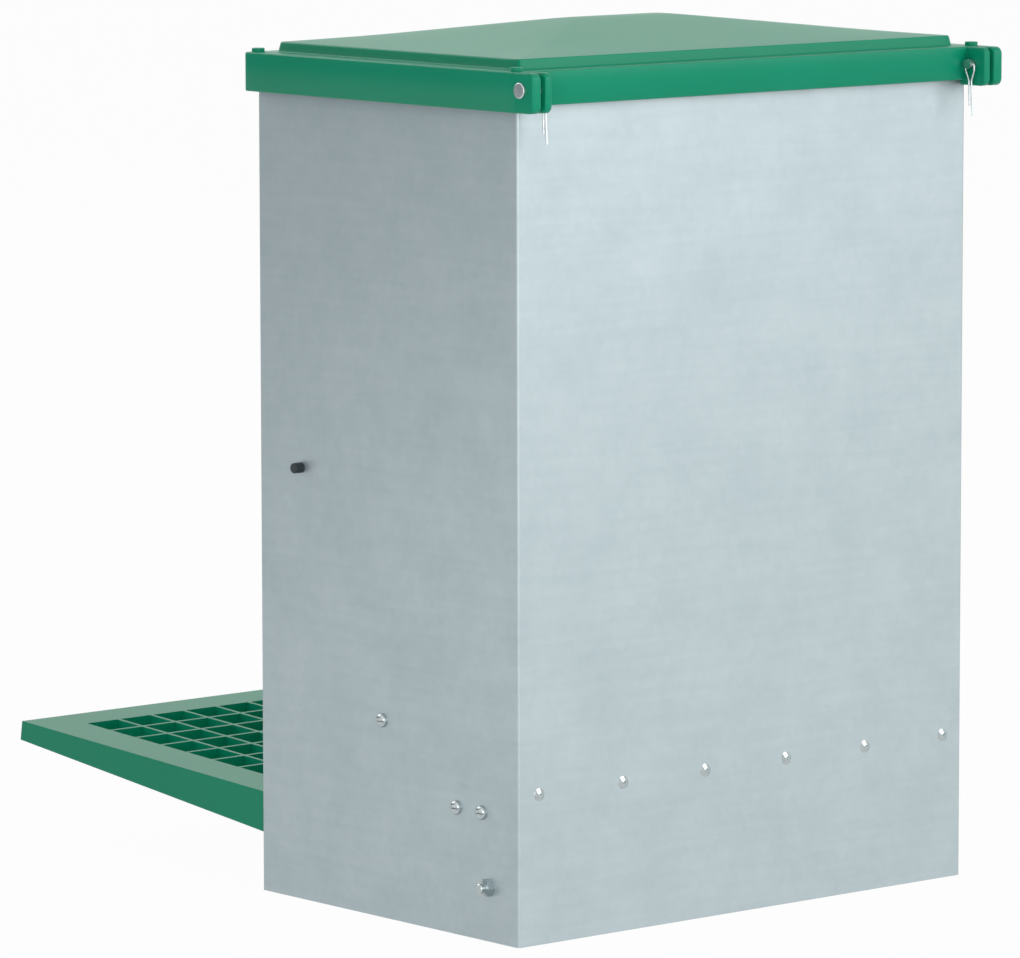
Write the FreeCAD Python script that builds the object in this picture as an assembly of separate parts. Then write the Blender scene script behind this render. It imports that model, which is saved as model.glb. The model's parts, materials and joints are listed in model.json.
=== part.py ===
import FreeCAD, Part
import os
from math import atan, cos, pi, radians, sin, sqrt, tan
from FreeCAD import Vector

# Treadle feeder for poultry. Millimetres, +Z up, front = -Y, back = +Y.
# The origin is on the ground, in the middle of the space the feeder takes up.

# ---------------------------------------------------------------- driving sizes
# sheet steel body
BODY_WIDTH = 300.0            # outside of one side panel to the outside of the other
BODY_DEPTH = 202.0            # front face to back face
BODY_HEIGHT = 427.6           # ground to the top edge of the sheet
SHEET = 0.8                   # sheet thickness
FOLD_RADIUS = 1.6             # outside radius of the two rear folds
FOOT_FLANGE = 12.0            # turned-in flange the body stands on
HEM_HEIGHT = 10.0             # folded safety edge round the top
HEM_END_GAP = 6.4             # the folded edge stops this far from a rear fold
CORNER_NOTCH_SIDE = 1.0       # air beside the inner lid ear in the notched corner
CORNER_NOTCH_BELOW = 0.8      # air below the path of the inner lid ear
FRONT_RETURN = 11.8           # turned-in edge of each side panel at the front
# front opening
TREADLE_SLOT_HEIGHT = 58.0    # below this the front edges have no return, so the arms can pass
MOUTH_TOP = 240.0             # lower edge of the front panel
# moulded lid
LID_SIDE_OVERHANG = 7.3       # lid side face beyond the side panel
LID_FRONT_OVERHANG = 2.7      # lid front face beyond the body front
LID_BACK_OVERHANG = 7.0       # lid back band beyond the back panel
LID_WALL = 2.2                # side and back skirt thickness, and the top plate
LID_FRONT_WALL = 1.8          # front skirt thickness
LID_SEAT_GAP = 0.3            # lid plate above the top edge of the sheet
SKIRT_HEIGHT = 19.7           # height of the lid's side face
BAND_HEIGHT = 16.8            # height of the lid's back band, shorter so that it swings clear
PLATEAU_INSET = 11.7          # flat ledge round the raised middle of the lid
PLATEAU_RISE = 5.2            # steep edge of the raised middle
PLATEAU_SLOPE = 1.0           # how far that edge leans in
CROWN_RISE = 12.0             # four shallow faces then pitch up, so that rain runs off
CROWN_TOP_HALF = 17.0         # and meet in a small flat top, half its width
CROWN_TOP_DEPTH = 22.0        # and its depth
LID_LUG_RADIUS = 3.3          # small round stacking lug at each corner of the ledge
LID_LUG_HEIGHT = 2.0
LID_LUG_INSET = 5.1
LID_LUG_SINK = 0.5            # the lug begins this far inside the ledge
# lid hinge
HINGE_SETBACK = 10.9          # hinge axis behind the back panel
HINGE_DROP = 6.1              # hinge axis below the top edge of the sheet
EAR_REACH = 19.5              # end of the lid ears behind the back panel
EAR_CORNER = 3.6              # rounded corners of the ears
OUTER_EAR = 5.9               # thickness of the outer lid ear
INNER_EAR = 4.3               # thickness of the inner lid ear
EAR_GAP = 0.3                 # air between the inner lid ear and the side panel
EAR_ROOT = 11.0               # how far the ear blocks run forward along the skirt
SHEET_EAR_RADIUS = 5.8        # rounded tongue of the side panel that carries the pin
PIN_RADIUS = 2.5
PIN_HEAD_RADIUS = 3.9
PIN_HEAD_HEIGHT = 1.4
PIN_HEAD_ROUND = 0.5          # rounded rim of the pin's head
PIN_TAIL = 4.2                # pin end beyond the inner ear
RUNNING_FIT = 0.06            # radial clearance of everything that turns
FIXED_FIT = 0.1               # radial clearance of a fastener in its hole
CLIP_WIRE = 0.55              # wire radius of the pin clip
CLIP_FROM_EAR = 1.9           # clip's distance from the inner ear, along the pin
CLIP_BEND = 1.0               # bend radius of the clip, at the wire's centre
CLIP_PART = 0.6               # each leg stands this far to its side of the waist
CLIP_SPLAY = 2.4              # foot of the long leg behind the pin's axis
CLIP_EYE_HALF = 3.1           # the wire turns down this far from the pin's axis
CLIP_SHOULDER = 3.2           # how far it drops before it draws in
CLIP_WAIST = 8.5              # where the legs meet, below the pin's axis
CLIP_LEG_SHORT = 21.5
CLIP_LEG_LONG = 26.5
# treadle
TREADLE_REACH = 214.6         # front tip of the treadle beyond the body front
TREADLE_SIDE_GAP = 2.2        # treadle side inside the inner face of the side panel
TREADLE_TIP_TOP = 61.0        # height of the top face at the front edge
TREADLE_TIP_DEPTH = 10.4      # depth of the side at the front edge
TREADLE_TOP_SLOPE = 2.85      # degrees, the top rises to the front
TREADLE_BOTTOM_SLOPE = 5.72   # degrees, the lower edge rises faster, so the side tapers
TREADLE_PLATE = 2.6           # plate thickness
TREADLE_SKIRT = 3.5           # side and arm thickness
TREADLE_TUCK = 13.0           # rear edge of the platform behind the body front
TREADLE_TIP_LEAN = 1.6        # the front face leans back by this much
GRID_PITCH = 22.2
GRID_BAR = 2.2
GRID_DEPTH = 8.0
GRID_COLUMNS = 11
GRID_ROWS = 8
GRID_FRONT_BORDER = 25.0      # plate in front of the first row of openings
TREADLE_TRAVEL = 6.5          # degrees the treadle goes down
# treadle pivot
PIVOT_FROM_BACK = 22.4
PIVOT_HEIGHT = 27.1
PIVOT_BOSS = 14.5
PIVOT_BOLT_RADIUS = 2.5
PIVOT_SLEEVE_RADIUS = 4.0
PIVOT_SLEEVE_PROUD = 0.3      # sleeve longer than the arm is thick, so the arm stays free
# flap, its rod and the linkage
ROD_FROM_FRONT = 32.8
ROD_HEIGHT = 221.5
ROD_RADIUS = 2.0
CAP_RADIUS = 2.7
CAP_LENGTH = 5.5
CAP_END_WALL = 1.5
CAP_ROUND = 0.8
BARREL_RADIUS = 4.6
FLAP_ABOVE_LIP = 2.1          # shut flap's lower edge above the trough's lip
FLAP_THICKNESS = 2.4
FLAP_LIP_DEPTH = 7.2          # stiffening lip and ribs stand this far behind the flap
FLAP_REST_LEAN = 12.8         # degrees, lower edge to the front when shut
FLAP_TRAVEL = 37.0            # degrees the flap swings in
FLAP_SIDE_GAP = 4.0           # flap edge inside the front opening
CRANK_THICKNESS = 4.0
CRANK_LAP = 1.0               # each crank begins this far inside the flap's edge
CRANK_BOSS = 5.4
LINK_WIRE = 1.5               # radius of the link rods
LINK_TO_PIVOT = 157.4         # lower end of the link in front of the treadle pivot
LINK_HEIGHT = 40.0            # lower end of the link above the ground
LINK_FREE_PLAY = 1.6          # the upper eye is wide, because it takes up the linkage's error
LINK_CRANK_TAIL = 2.5         # rod end past the inner face of the crank
LINK_BEND = 2.4               # bend radius of the rods, at the wire's centre
SIDE_PLAY = 0.5               # sideways air between a rod and what it runs beside
# hopper
BAFFLE_LIFT = 8.0             # baffle above the line from the rod to the baffle screws
BAFFLE_FLANGE = 16.0
BAFFLE_TOP_FLANGE = 16.0
BAFFLE_RIVET_SHARE = 0.55     # place of the rivets up the top flange
BAFFLE_WING_SHARE = 0.55      # how far up the slope the side flanges reach past the rod
BAFFLE_SCREW_FROM_BACK = 105.0
BAFFLE_SCREW_HEIGHT = 100.2
BAFFLE_TAIL = 9.0             # baffle beyond the baffle screws
FLOOR_FLANGE = 18.0
FLOOR_BACK_HEIGHT = 84.8      # hopper floor where it meets the back panel
FLOOR_FRONT_FROM_BACK = 80.0  # where the slope ends
FLOOR_LAP = 10.0              # flat lap on the trough bottom
FLOOR_SCREW_HEIGHT = 63.8
FLOOR_SCREWS_FROM_BACK = (27.8, 47.1)
# feed trough
TROUGH_BOTTOM = 59.2
TROUGH_LIP = 94.0
TROUGH_LIP_ROLL = 1.6         # thickness of the rolled lip
TROUGH_LIP_DEPTH = 5.0
TROUGH_ROLL_DROP = 0.4        # top of the roll below the lip's flat top
TROUGH_END_SHELF = 15.0
TROUGH_SIDE_GAP = 0.2         # trough end from the edge of the front return
# fasteners
RIVET_RADIUS = 1.6
RIVET_HEAD_RADIUS = 3.3
RIVET_HEAD_HEIGHT = 1.1
RIVET_TAIL_RADIUS = 2.5
RIVET_TAIL_LENGTH = 3.0
RIVET_RECESS = 0.9
RIVET_RECESS_DEPTH = 0.8
RIVET_SINK = 0.2              # shank runs this far into the head
BACK_RIVET_COUNT = 6
BACK_RIVET_PITCH = 54.7
BACK_RIVET_HEIGHT = 74.8
TROUGH_RIVET_UP = 16.8        # front rivet above the trough's underside
PANEL_RIVET_UP = 15.0         # front rivet above the mouth
PANEL_RIVET_DOWN = 32.6       # front rivet below the top edge of the sheet
BAFFLE_RIVET_GAP = 12.0       # front rivet above the baffle's top flange
FRONT_RIVET_EDGE = 6.0        # rivet centre in from the side panel's outer face
BAFFLE_RIVET_COUNT = 4
BAFFLE_RIVET_PITCH = 70.0
SCREW_RADIUS = 2.0
SCREW_HEAD_RADIUS = 3.6
SCREW_HEAD_HEIGHT = 2.6
SCREW_SLOT = 0.9
SCREW_SLOT_DEPTH = 1.0
NUT_FLATS = 7.0
NUT_HEIGHT = 3.2
LOCKNUT_FLATS = 8.0
LOCKNUT_HEIGHT = 5.4
LOCKNUT_HEX_HEIGHT = 4.2
LOCKNUT_BEVEL_RADII = (4.8, 4.0)   # cone that takes the corners off the hexagon
LOCKNUT_LOWER_RADIUS = 4.56        # the corners stay whole up to this radius
LOCKNUT_LOWER_HEIGHT = 3.5
LOCKNUT_COLLAR_RADIUS = 3.52
BOLT_HEAD_HEIGHT = 3.0
BOLT_TAIL = 1.6               # thread showing beyond the lock nut
BOLT_CHAMFER = 0.4
WASHER_RADIUS = 5.0
WASHER_SPACE = 1.0            # from the arm to the bolt's head
WASHER_HEIGHT = 0.7
SCREW_HEAD_ROUND = 2.3        # rounding that domes the head
SCREW_TAIL = 1.2
SCREW_TAIL_SHORT = 0.4        # baffle screw beyond its second nut
# return springs
SPRING_RADIUS = 2.7           # centre line of the coils
SPRING_WIRE = 0.5
SPRING_TURNS = 14
SPRING_PITCH = 2.2
SPRING_LOOP_GAP = 1.4         # spring's loop from the nut on either side of it
SPRING_HOOK_BEND = 1.5
SPRING_NECK_BEND = 1.0
SPRING_OVERLAP = 0.3          # hook and neck start this far into the coil's end
SPRING_END_STEP = 0.1
HOOK_HOLE = 1.3
HOOK_HEIGHT = 39.5            # hook hole in the arm above the ground

# ---------------------------------------------------------------- worked-out places
OVERALL_DEPTH = TREADLE_REACH + BODY_DEPTH + EAR_REACH
BACK = OVERALL_DEPTH / 2 - EAR_REACH          # outer face of the back panel
FRONT = BACK - BODY_DEPTH                     # outer face of the front edges
HALF = BODY_WIDTH / 2                         # outer face of a side panel
INSIDE = HALF - SHEET                         # inner face of a side panel
BACK_IN = BACK - SHEET
FRONT_IN = FRONT + SHEET                      # back of the front returns
MOUTH_HALF = HALF - FRONT_RETURN

LID_HALF = HALF + LID_SIDE_OVERHANG
LID_FRONT = FRONT - LID_FRONT_OVERHANG
LID_BACK = BACK + LID_BACK_OVERHANG
LID_UNDER = BODY_HEIGHT + LID_SEAT_GAP
LEDGE = LID_UNDER + LID_WALL                  # top of the lid's flat ledge
HINGE_Y = BACK + HINGE_SETBACK
HINGE_Z = BODY_HEIGHT - HINGE_DROP
EAR_END = BACK + EAR_REACH
INNER_EAR_OUT = INSIDE - EAR_GAP
INNER_EAR_IN = INNER_EAR_OUT - INNER_EAR
SKIRT_BOTTOM = LEDGE - SKIRT_HEIGHT
BAND_BOTTOM = LEDGE - BAND_HEIGHT
EAR_SWEEP = sqrt((HINGE_Y - LID_BACK + LID_WALL) ** 2 + (HINGE_Z - SKIRT_BOTTOM) ** 2)
NOTCH_BOTTOM = HINGE_Z - sqrt(EAR_SWEEP ** 2 - HINGE_SETBACK ** 2) - CORNER_NOTCH_BELOW

TREADLE_HALF = INSIDE - TREADLE_SIDE_GAP
ARM_IN = TREADLE_HALF - TREADLE_SKIRT
TIP = FRONT - TREADLE_REACH
PLATFORM_REAR = FRONT + TREADLE_TUCK
PIVOT_Y = BACK - PIVOT_FROM_BACK
PIVOT_Z = PIVOT_HEIGHT

ROD_Y = FRONT + ROD_FROM_FRONT
ROD_Z = ROD_HEIGHT
FLAP_HALF = MOUTH_HALF - FLAP_SIDE_GAP
FLAP_DROP = ROD_Z - TROUGH_LIP - TROUGH_LIP_ROLL - FLAP_ABOVE_LIP
FLAP_LENGTH = FLAP_DROP / cos(radians(FLAP_REST_LEAN))
LINK_Y = PIVOT_Y - LINK_TO_PIVOT
LINK_X = ARM_IN - SIDE_PLAY - LINK_WIRE       # the rods hang just inside the arms
LINK_DROP = LINK_TO_PIVOT * sin(radians(TREADLE_TRAVEL))
CRANK_RADIUS = LINK_DROP / (2 * sin(radians(FLAP_TRAVEL / 2)))
CRANK_Y = ROD_Y - CRANK_RADIUS * cos(radians(FLAP_TRAVEL / 2))
CRANK_Z = ROD_Z + CRANK_RADIUS * sin(radians(FLAP_TRAVEL / 2))
CRANK_OUT = FLAP_HALF + CRANK_THICKNESS - CRANK_LAP
CRANK_IN = CRANK_OUT - CRANK_THICKNESS

BAFFLE_SCREW_Y = BACK - BAFFLE_SCREW_FROM_BACK
BAFFLE_SCREW_Z = BAFFLE_SCREW_HEIGHT
BAFFLE_ANGLE = atan((ROD_Z - BAFFLE_SCREW_Z) / (BAFFLE_SCREW_Y - ROD_Y))
FLOOR_FRONT = BACK - FLOOR_FRONT_FROM_BACK
TROUGH_TOP_OF_BOTTOM = TROUGH_BOTTOM + SHEET
TROUGH_HALF = MOUTH_HALF - TROUGH_SIDE_GAP
FLANGE_IN = INSIDE - SHEET                    # inner face of a flange on a side panel

ORIGIN = Vector(0, 0, 0)


# ---------------------------------------------------------------- helpers
def block(x0, x1, y0, y1, z0, z1):
    """Box between three pairs of limits."""
    return Part.makeBox(x1 - x0, y1 - y0, z1 - z0, Vector(x0, y0, z0))


def prism_x(points, x0, x1):
    """Closed outline of (y, z) points, carried along X from x0 to x1."""
    corners = [Vector(x0, y, z) for y, z in points]
    face = Part.Face(Part.makePolygon(corners + corners[:1]))
    return face.extrude(Vector(x1 - x0, 0, 0))


def rod_x(radius, x0, x1, y, z):
    """Round bar along X."""
    return Part.makeCylinder(radius, x1 - x0, Vector(x0, y, z), Vector(1, 0, 0))


def rod_y(radius, y0, y1, x, z):
    """Round bar along Y."""
    return Part.makeCylinder(radius, y1 - y0, Vector(x, y0, z), Vector(0, 1, 0))


def fuse(shapes):
    """One solid out of touching or overlapping shapes."""
    shapes = list(shapes)
    joined = shapes[0].multiFuse(shapes[1:]) if len(shapes) > 1 else shapes[0]
    return joined.removeSplitter()


def cut(shape, tools):
    """Shape with every tool taken out of it."""
    tools = list(tools)
    return shape.cut(tools) if tools else shape


def mirrored(shape):
    """Copy on the other side of the feeder's middle plane."""
    return shape.mirror(ORIGIN, Vector(1, 0, 0))


def both_sides(shape):
    """The shape and its mirror image."""
    return [shape, mirrored(shape)]


def group(shapes):
    """Separate solids kept in one node."""
    return Part.makeCompound(list(shapes))


def save(name, shape):
    """Write one sub-part and report what it holds."""
    shape.exportStep("parts/" + name + ".step")
    print(name, len(shape.Solids), "solids", round(shape.Volume), "mm3", shape.isValid())


def bent_wire(points, radius, bend):
    """Round wire along straight runs joined by arcs of the given bend radius."""
    corners = [Vector(*p) for p in points]
    edges = []
    start = corners[0]
    for before, corner, after in zip(corners, corners[1:], corners[2:]):
        into = (before - corner).normalize()
        out = (after - corner).normalize()
        turn = pi - into.getAngle(out)
        trim = bend * tan(turn / 2)
        a = corner + into * trim
        b = corner + out * trim
        middle = (into + out).normalize()
        mid = corner + middle * (bend / cos(turn / 2) - bend)
        edges.append(Part.LineSegment(start, a).toShape())
        edges.append(Part.Arc(a, mid, b).toShape())
        start = b
    edges.append(Part.LineSegment(start, corners[-1]).toShape())
    path = Part.Wire(edges)
    profile = Part.Wire(Part.makeCircle(radius, corners[0], corners[1] - corners[0]))
    return path.makePipeShell([profile], True, True)


def treadle_top(y):
    """Height of the treadle's top face at y."""
    return TREADLE_TIP_TOP - (y - TIP) * tan(radians(TREADLE_TOP_SLOPE))


def treadle_bottom(y):
    """Height of the treadle's lower edge at y."""
    tip_bottom = TREADLE_TIP_TOP - TREADLE_TIP_DEPTH
    return tip_bottom - (y - TIP) * tan(radians(TREADLE_BOTTOM_SLOPE))


def along_baffle(distance, lift):
    """Point (y, z) down the baffle's slope from the rod, lifted off the rod-to-screw line."""
    y = ROD_Y + distance * cos(BAFFLE_ANGLE) + lift * sin(BAFFLE_ANGLE)
    z = ROD_Z - distance * sin(BAFFLE_ANGLE) + lift * cos(BAFFLE_ANGLE)
    return (y, z)


BAFFLE_REACH = sqrt((BAFFLE_SCREW_Y - ROD_Y) ** 2 + (ROD_Z - BAFFLE_SCREW_Z) ** 2)
PANEL_BACK = FRONT_IN + SHEET                 # back of the front panel
BAFFLE_RISE = (along_baffle(0, BAFFLE_LIFT)[0] - PANEL_BACK) / cos(BAFFLE_ANGLE)
BAFFLE_TOP_Z = along_baffle(-BAFFLE_RISE, BAFFLE_LIFT)[1]
BAFFLE_RIVET_Z = BAFFLE_TOP_Z + BAFFLE_TOP_FLANGE * BAFFLE_RIVET_SHARE


# ---------------------------------------------------------------- hole positions
def back_rivet_places():
    """X of each rivet in the row across the back."""
    first = -BACK_RIVET_PITCH * (BACK_RIVET_COUNT - 1) / 2
    return [first + i * BACK_RIVET_PITCH for i in range(BACK_RIVET_COUNT)]


def baffle_rivet_places():
    """X of each rivet that holds the baffle to the front panel."""
    first = -BAFFLE_RIVET_PITCH * (BAFFLE_RIVET_COUNT - 1) / 2
    return [first + i * BAFFLE_RIVET_PITCH for i in range(BAFFLE_RIVET_COUNT)]


def front_rivet_places():
    """(x, z) of the rivets up both front returns: trough, mouth, above the baffle, top."""
    x = HALF - FRONT_RIVET_EDGE
    heights = (TROUGH_BOTTOM + TROUGH_RIVET_UP, MOUTH_TOP + PANEL_RIVET_UP,
               BAFFLE_TOP_Z + BAFFLE_TOP_FLANGE + BAFFLE_RIVET_GAP,
               BODY_HEIGHT - PANEL_RIVET_DOWN)
    return [(side * x, z) for side in (-1, 1) for z in heights]


def floor_screw_places():
    """(y, z) of the screws through each side panel into the hopper floor's flange."""
    return [(BACK - d, FLOOR_SCREW_HEIGHT) for d in FLOOR_SCREWS_FROM_BACK]


def side_holes():
    """Bores through both side panels and whatever flange lies against them."""
    tools = [rod_x(SCREW_RADIUS + FIXED_FIT, -LID_HALF, LID_HALF, y, z)
             for y, z in floor_screw_places() + [(BAFFLE_SCREW_Y, BAFFLE_SCREW_Z)]]
    tools.append(rod_x(PIVOT_BOLT_RADIUS + FIXED_FIT, -LID_HALF, LID_HALF, PIVOT_Y, PIVOT_Z))
    tools.append(rod_x(ROD_RADIUS + FIXED_FIT, -LID_HALF, LID_HALF, ROD_Y, ROD_Z))
    return tools


def back_holes():
    """Rivet bores through the back panel and the floor's rear flange."""
    return [rod_y(RIVET_RADIUS, BACK - FOOT_FLANGE, BACK + 1, x, BACK_RIVET_HEIGHT)
            for x in back_rivet_places()]


def front_holes():
    """Rivet bores through the front returns and what lies behind them."""
    return [rod_y(RIVET_RADIUS, FRONT - 1, FRONT + FOOT_FLANGE, x, z)
            for x, z in front_rivet_places()]


def baffle_rivet_holes():
    """Rivet bores through the front panel and the baffle's top flange."""
    return [rod_y(RIVET_RADIUS, FRONT - 1, FRONT + FOOT_FLANGE, x, BAFFLE_RIVET_Z)
            for x in baffle_rivet_places()]


# ---------------------------------------------------------------- sheet metal
def body_shell():
    """Back and both sides folded from one sheet, with hems, returns and hinge tongues."""
    outer = block(-HALF, HALF, FRONT, BACK, 0, BODY_HEIGHT)
    rear = [e for e in outer.Edges
            if e.BoundBox.ZLength > BODY_HEIGHT / 2 and e.BoundBox.YMin > BACK - 1]
    outer = outer.makeFillet(FOLD_RADIUS, rear)
    inner = block(-INSIDE, INSIDE, FRONT - 1, BACK_IN, -1, BODY_HEIGHT + 1)
    rear = [e for e in inner.Edges
            if e.BoundBox.ZLength > BODY_HEIGHT / 2 and e.BoundBox.YMin > BACK_IN - 1]
    inner = inner.makeFillet(FOLD_RADIUS - SHEET, rear)
    wrap = outer.cut(inner)

    hem_low = BODY_HEIGHT - HEM_HEIGHT
    hem_side = block(FLANGE_IN, INSIDE, PANEL_BACK, BACK_IN - HEM_END_GAP, hem_low, BODY_HEIGHT)
    hem_back = block(-INNER_EAR_IN + HEM_END_GAP, INNER_EAR_IN - HEM_END_GAP,
                     BACK_IN - SHEET, BACK_IN, hem_low, BODY_HEIGHT)
    returns = block(MOUTH_HALF, INSIDE, FRONT, FRONT_IN, TREADLE_SLOT_HEIGHT, BODY_HEIGHT)
    foot_side = block(INSIDE - FOOT_FLANGE, INSIDE, FRONT + FOOT_FLANGE, BACK_IN, 0, SHEET)
    foot_back = block(-INSIDE, INSIDE, BACK_IN - FOOT_FLANGE, BACK_IN, 0, SHEET)
    shell = fuse([wrap, hem_back, foot_back] + both_sides(hem_side)
                 + both_sides(returns) + both_sides(foot_side))

    relief = block(INNER_EAR_IN - CORNER_NOTCH_SIDE, INSIDE, BACK - 2 * FOLD_RADIUS, BACK + 1,
                   NOTCH_BOTTOM, BODY_HEIGHT + 1)
    fold_end = block(INSIDE - 1, HALF + 1, BACK - FOLD_RADIUS, BACK + 1,
                     HINGE_Z - SHEET_EAR_RADIUS, BODY_HEIGHT + 1)
    shell = cut(shell, both_sides(relief) + both_sides(fold_end))
    tongue = fuse([
        block(INSIDE, HALF, BACK - 2 * FOLD_RADIUS, HINGE_Y,
              HINGE_Z - SHEET_EAR_RADIUS, HINGE_Z + SHEET_EAR_RADIUS),
        rod_x(SHEET_EAR_RADIUS, INSIDE, HALF, HINGE_Y, HINGE_Z)])
    shell = fuse([shell] + both_sides(tongue))
    pin_holes = rod_x(PIN_RADIUS + FIXED_FIT, -LID_HALF, LID_HALF, HINGE_Y, HINGE_Z)
    return cut(shell, side_holes() + back_holes() + front_holes() + [pin_holes])


def front_panel():
    """Upper front sheet behind the returns, with a hem at the mouth and at the top."""
    sheet = block(-INSIDE, INSIDE, FRONT_IN, PANEL_BACK, MOUTH_TOP, BODY_HEIGHT)
    hem = block(-MOUTH_HALF, MOUTH_HALF, PANEL_BACK, PANEL_BACK + SHEET,
                MOUTH_TOP, MOUTH_TOP + HEM_HEIGHT)
    top_hem = block(-MOUTH_HALF, MOUTH_HALF, PANEL_BACK, PANEL_BACK + SHEET,
                    BODY_HEIGHT - HEM_HEIGHT, BODY_HEIGHT)
    return cut(fuse([sheet, hem, top_hem]), front_holes() + baffle_rivet_holes())


def hopper_baffle():
    """Sloping sheet behind the flap that keeps the feed back, with side and top flanges."""
    low_end = BAFFLE_REACH + BAFFLE_TAIL
    thick = SHEET / cos(BAFFLE_ANGLE)
    top = (PANEL_BACK, BAFFLE_TOP_Z)
    sheet = prism_x([along_baffle(low_end, BAFFLE_LIFT),
                     top,
                     (PANEL_BACK, BAFFLE_TOP_Z + BAFFLE_TOP_FLANGE),
                     (PANEL_BACK + SHEET, BAFFLE_TOP_Z + BAFFLE_TOP_FLANGE),
                     (PANEL_BACK + SHEET, BAFFLE_TOP_Z + thick - SHEET * tan(BAFFLE_ANGLE)),
                     along_baffle(low_end, BAFFLE_LIFT + SHEET)],
                    -INSIDE, INSIDE)
    wing_top = -BAFFLE_RISE * BAFFLE_WING_SHARE
    wing = prism_x([along_baffle(wing_top, BAFFLE_LIFT),
                    along_baffle(low_end, BAFFLE_LIFT),
                    along_baffle(low_end, BAFFLE_LIFT - BAFFLE_FLANGE),
                    along_baffle(0, BAFFLE_LIFT - BAFFLE_FLANGE)],
                   FLANGE_IN, INSIDE)
    return cut(fuse([sheet] + both_sides(wing)), side_holes() + baffle_rivet_holes())


def hopper_floor():
    """Sloping hopper bottom with flanges turned down against the back and the sides."""
    lap = FLOOR_FRONT - FLOOR_LAP
    low = TROUGH_TOP_OF_BOTTOM
    sheet = prism_x([(lap, low), (FLOOR_FRONT, low), (BACK_IN, FLOOR_BACK_HEIGHT - SHEET),
                     (BACK_IN, FLOOR_BACK_HEIGHT), (FLOOR_FRONT, low + SHEET),
                     (lap, low + SHEET)], -INSIDE, INSIDE)
    rear = block(-FLANGE_IN, FLANGE_IN, BACK_IN - SHEET, BACK_IN,
                 FLOOR_BACK_HEIGHT - FLOOR_FLANGE, FLOOR_BACK_HEIGHT)
    wing_front = FLOOR_FRONT + SHEET
    wing_back = BACK_IN - FOLD_RADIUS
    wing = prism_x([(wing_front, low), (wing_back, FLOOR_BACK_HEIGHT - SHEET),
                    (wing_back, FLOOR_BACK_HEIGHT - FLOOR_FLANGE),
                    (wing_front, low - FLOOR_FLANGE + SHEET)], FLANGE_IN, INSIDE)
    lap_end = block(TROUGH_HALF - SHEET, HALF, lap - 1, FLOOR_FRONT, 0, ROD_HEIGHT)
    fold_relief = block(INSIDE - FOLD_RADIUS, HALF, BACK_IN - FOLD_RADIUS, BACK, 0, ROD_HEIGHT)
    floor = cut(fuse([sheet, rear]), both_sides(lap_end) + both_sides(fold_relief))
    return cut(fuse([floor] + both_sides(wing)), side_holes() + back_holes())


def feed_trough():
    """Folded feed trough with a rolled front lip and closing shelves at its rear ends."""
    wall = TROUGH_HALF - SHEET
    lip_top = TROUGH_LIP + TROUGH_LIP_ROLL
    bottom = block(-TROUGH_HALF, TROUGH_HALF, FRONT_IN, FLOOR_FRONT,
                   TROUGH_BOTTOM, TROUGH_TOP_OF_BOTTOM)
    front = block(-TROUGH_HALF, TROUGH_HALF, FRONT_IN, PANEL_BACK, TROUGH_BOTTOM, lip_top)
    lip_end = FRONT_IN + TROUGH_LIP_DEPTH
    lip = block(-TROUGH_HALF, TROUGH_HALF, FRONT_IN, lip_end, TROUGH_LIP, lip_top)
    curl = rod_x(TROUGH_LIP_ROLL, -TROUGH_HALF, TROUGH_HALF, lip_end,
                 lip_top - TROUGH_ROLL_DROP - TROUGH_LIP_ROLL)
    tab = block(TROUGH_HALF, FLANGE_IN, FRONT_IN, PANEL_BACK,
                TROUGH_TOP_OF_BOTTOM, TROUGH_LIP)
    side = block(wall, TROUGH_HALF, FRONT_IN, FLOOR_FRONT, TROUGH_BOTTOM, TROUGH_LIP)
    shelf = block(TROUGH_HALF, INSIDE, FLOOR_FRONT - TROUGH_END_SHELF, FLOOR_FRONT,
                  TROUGH_LIP - SHEET, TROUGH_LIP)
    closer = block(TROUGH_HALF, INSIDE, FLOOR_FRONT - SHEET, FLOOR_FRONT,
                   TROUGH_TOP_OF_BOTTOM, TROUGH_LIP)
    pieces = [bottom, front, lip, curl]
    for piece in (tab, side, shelf, closer):
        pieces += both_sides(piece)
    return cut(fuse(pieces), front_holes())


# ---------------------------------------------------------------- lid
def rectangle(x, y0, y1, z):
    """Level rectangle from -x to x and from y0 to y1, as a wire."""
    corners = [Vector(-x, y0, z), Vector(x, y0, z), Vector(x, y1, z), Vector(-x, y1, z)]
    return Part.makePolygon(corners + corners[:1])


def lid_outline(inset, z):
    """Rectangle inside the lid's edges at height z, as a wire."""
    return rectangle(LID_HALF - inset, LID_FRONT + inset, LID_BACK - inset, z)


def raised_middle(drop):
    """Raised middle of the lid with its pitched crown, lowered by drop for its hollow underside."""
    middle = (LID_FRONT + LID_BACK) / 2
    rim = LEDGE + PLATEAU_RISE - drop
    foot = lid_outline(PLATEAU_INSET + drop, LEDGE - drop)
    edge = lid_outline(PLATEAU_INSET + PLATEAU_SLOPE + drop, rim)
    top = rectangle(CROWN_TOP_HALF, middle - CROWN_TOP_DEPTH / 2, middle + CROWN_TOP_DEPTH / 2,
                    rim + CROWN_RISE)
    return fuse([Part.makeLoft([foot, edge], True, True), Part.makeLoft([edge, top], True, True)])


def lid_ear(x0, x1, front):
    """Hinge ear with rounded rear corners, flush with the top of the ledge."""
    ear = block(x0, x1, front, EAR_END, SKIRT_BOTTOM, LEDGE)
    ends = [e for e in ear.Edges
            if e.BoundBox.XLength > (x1 - x0) / 2 and e.BoundBox.YMin > EAR_END - 0.1]
    return ear.makeFillet(EAR_CORNER, ends)


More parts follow.
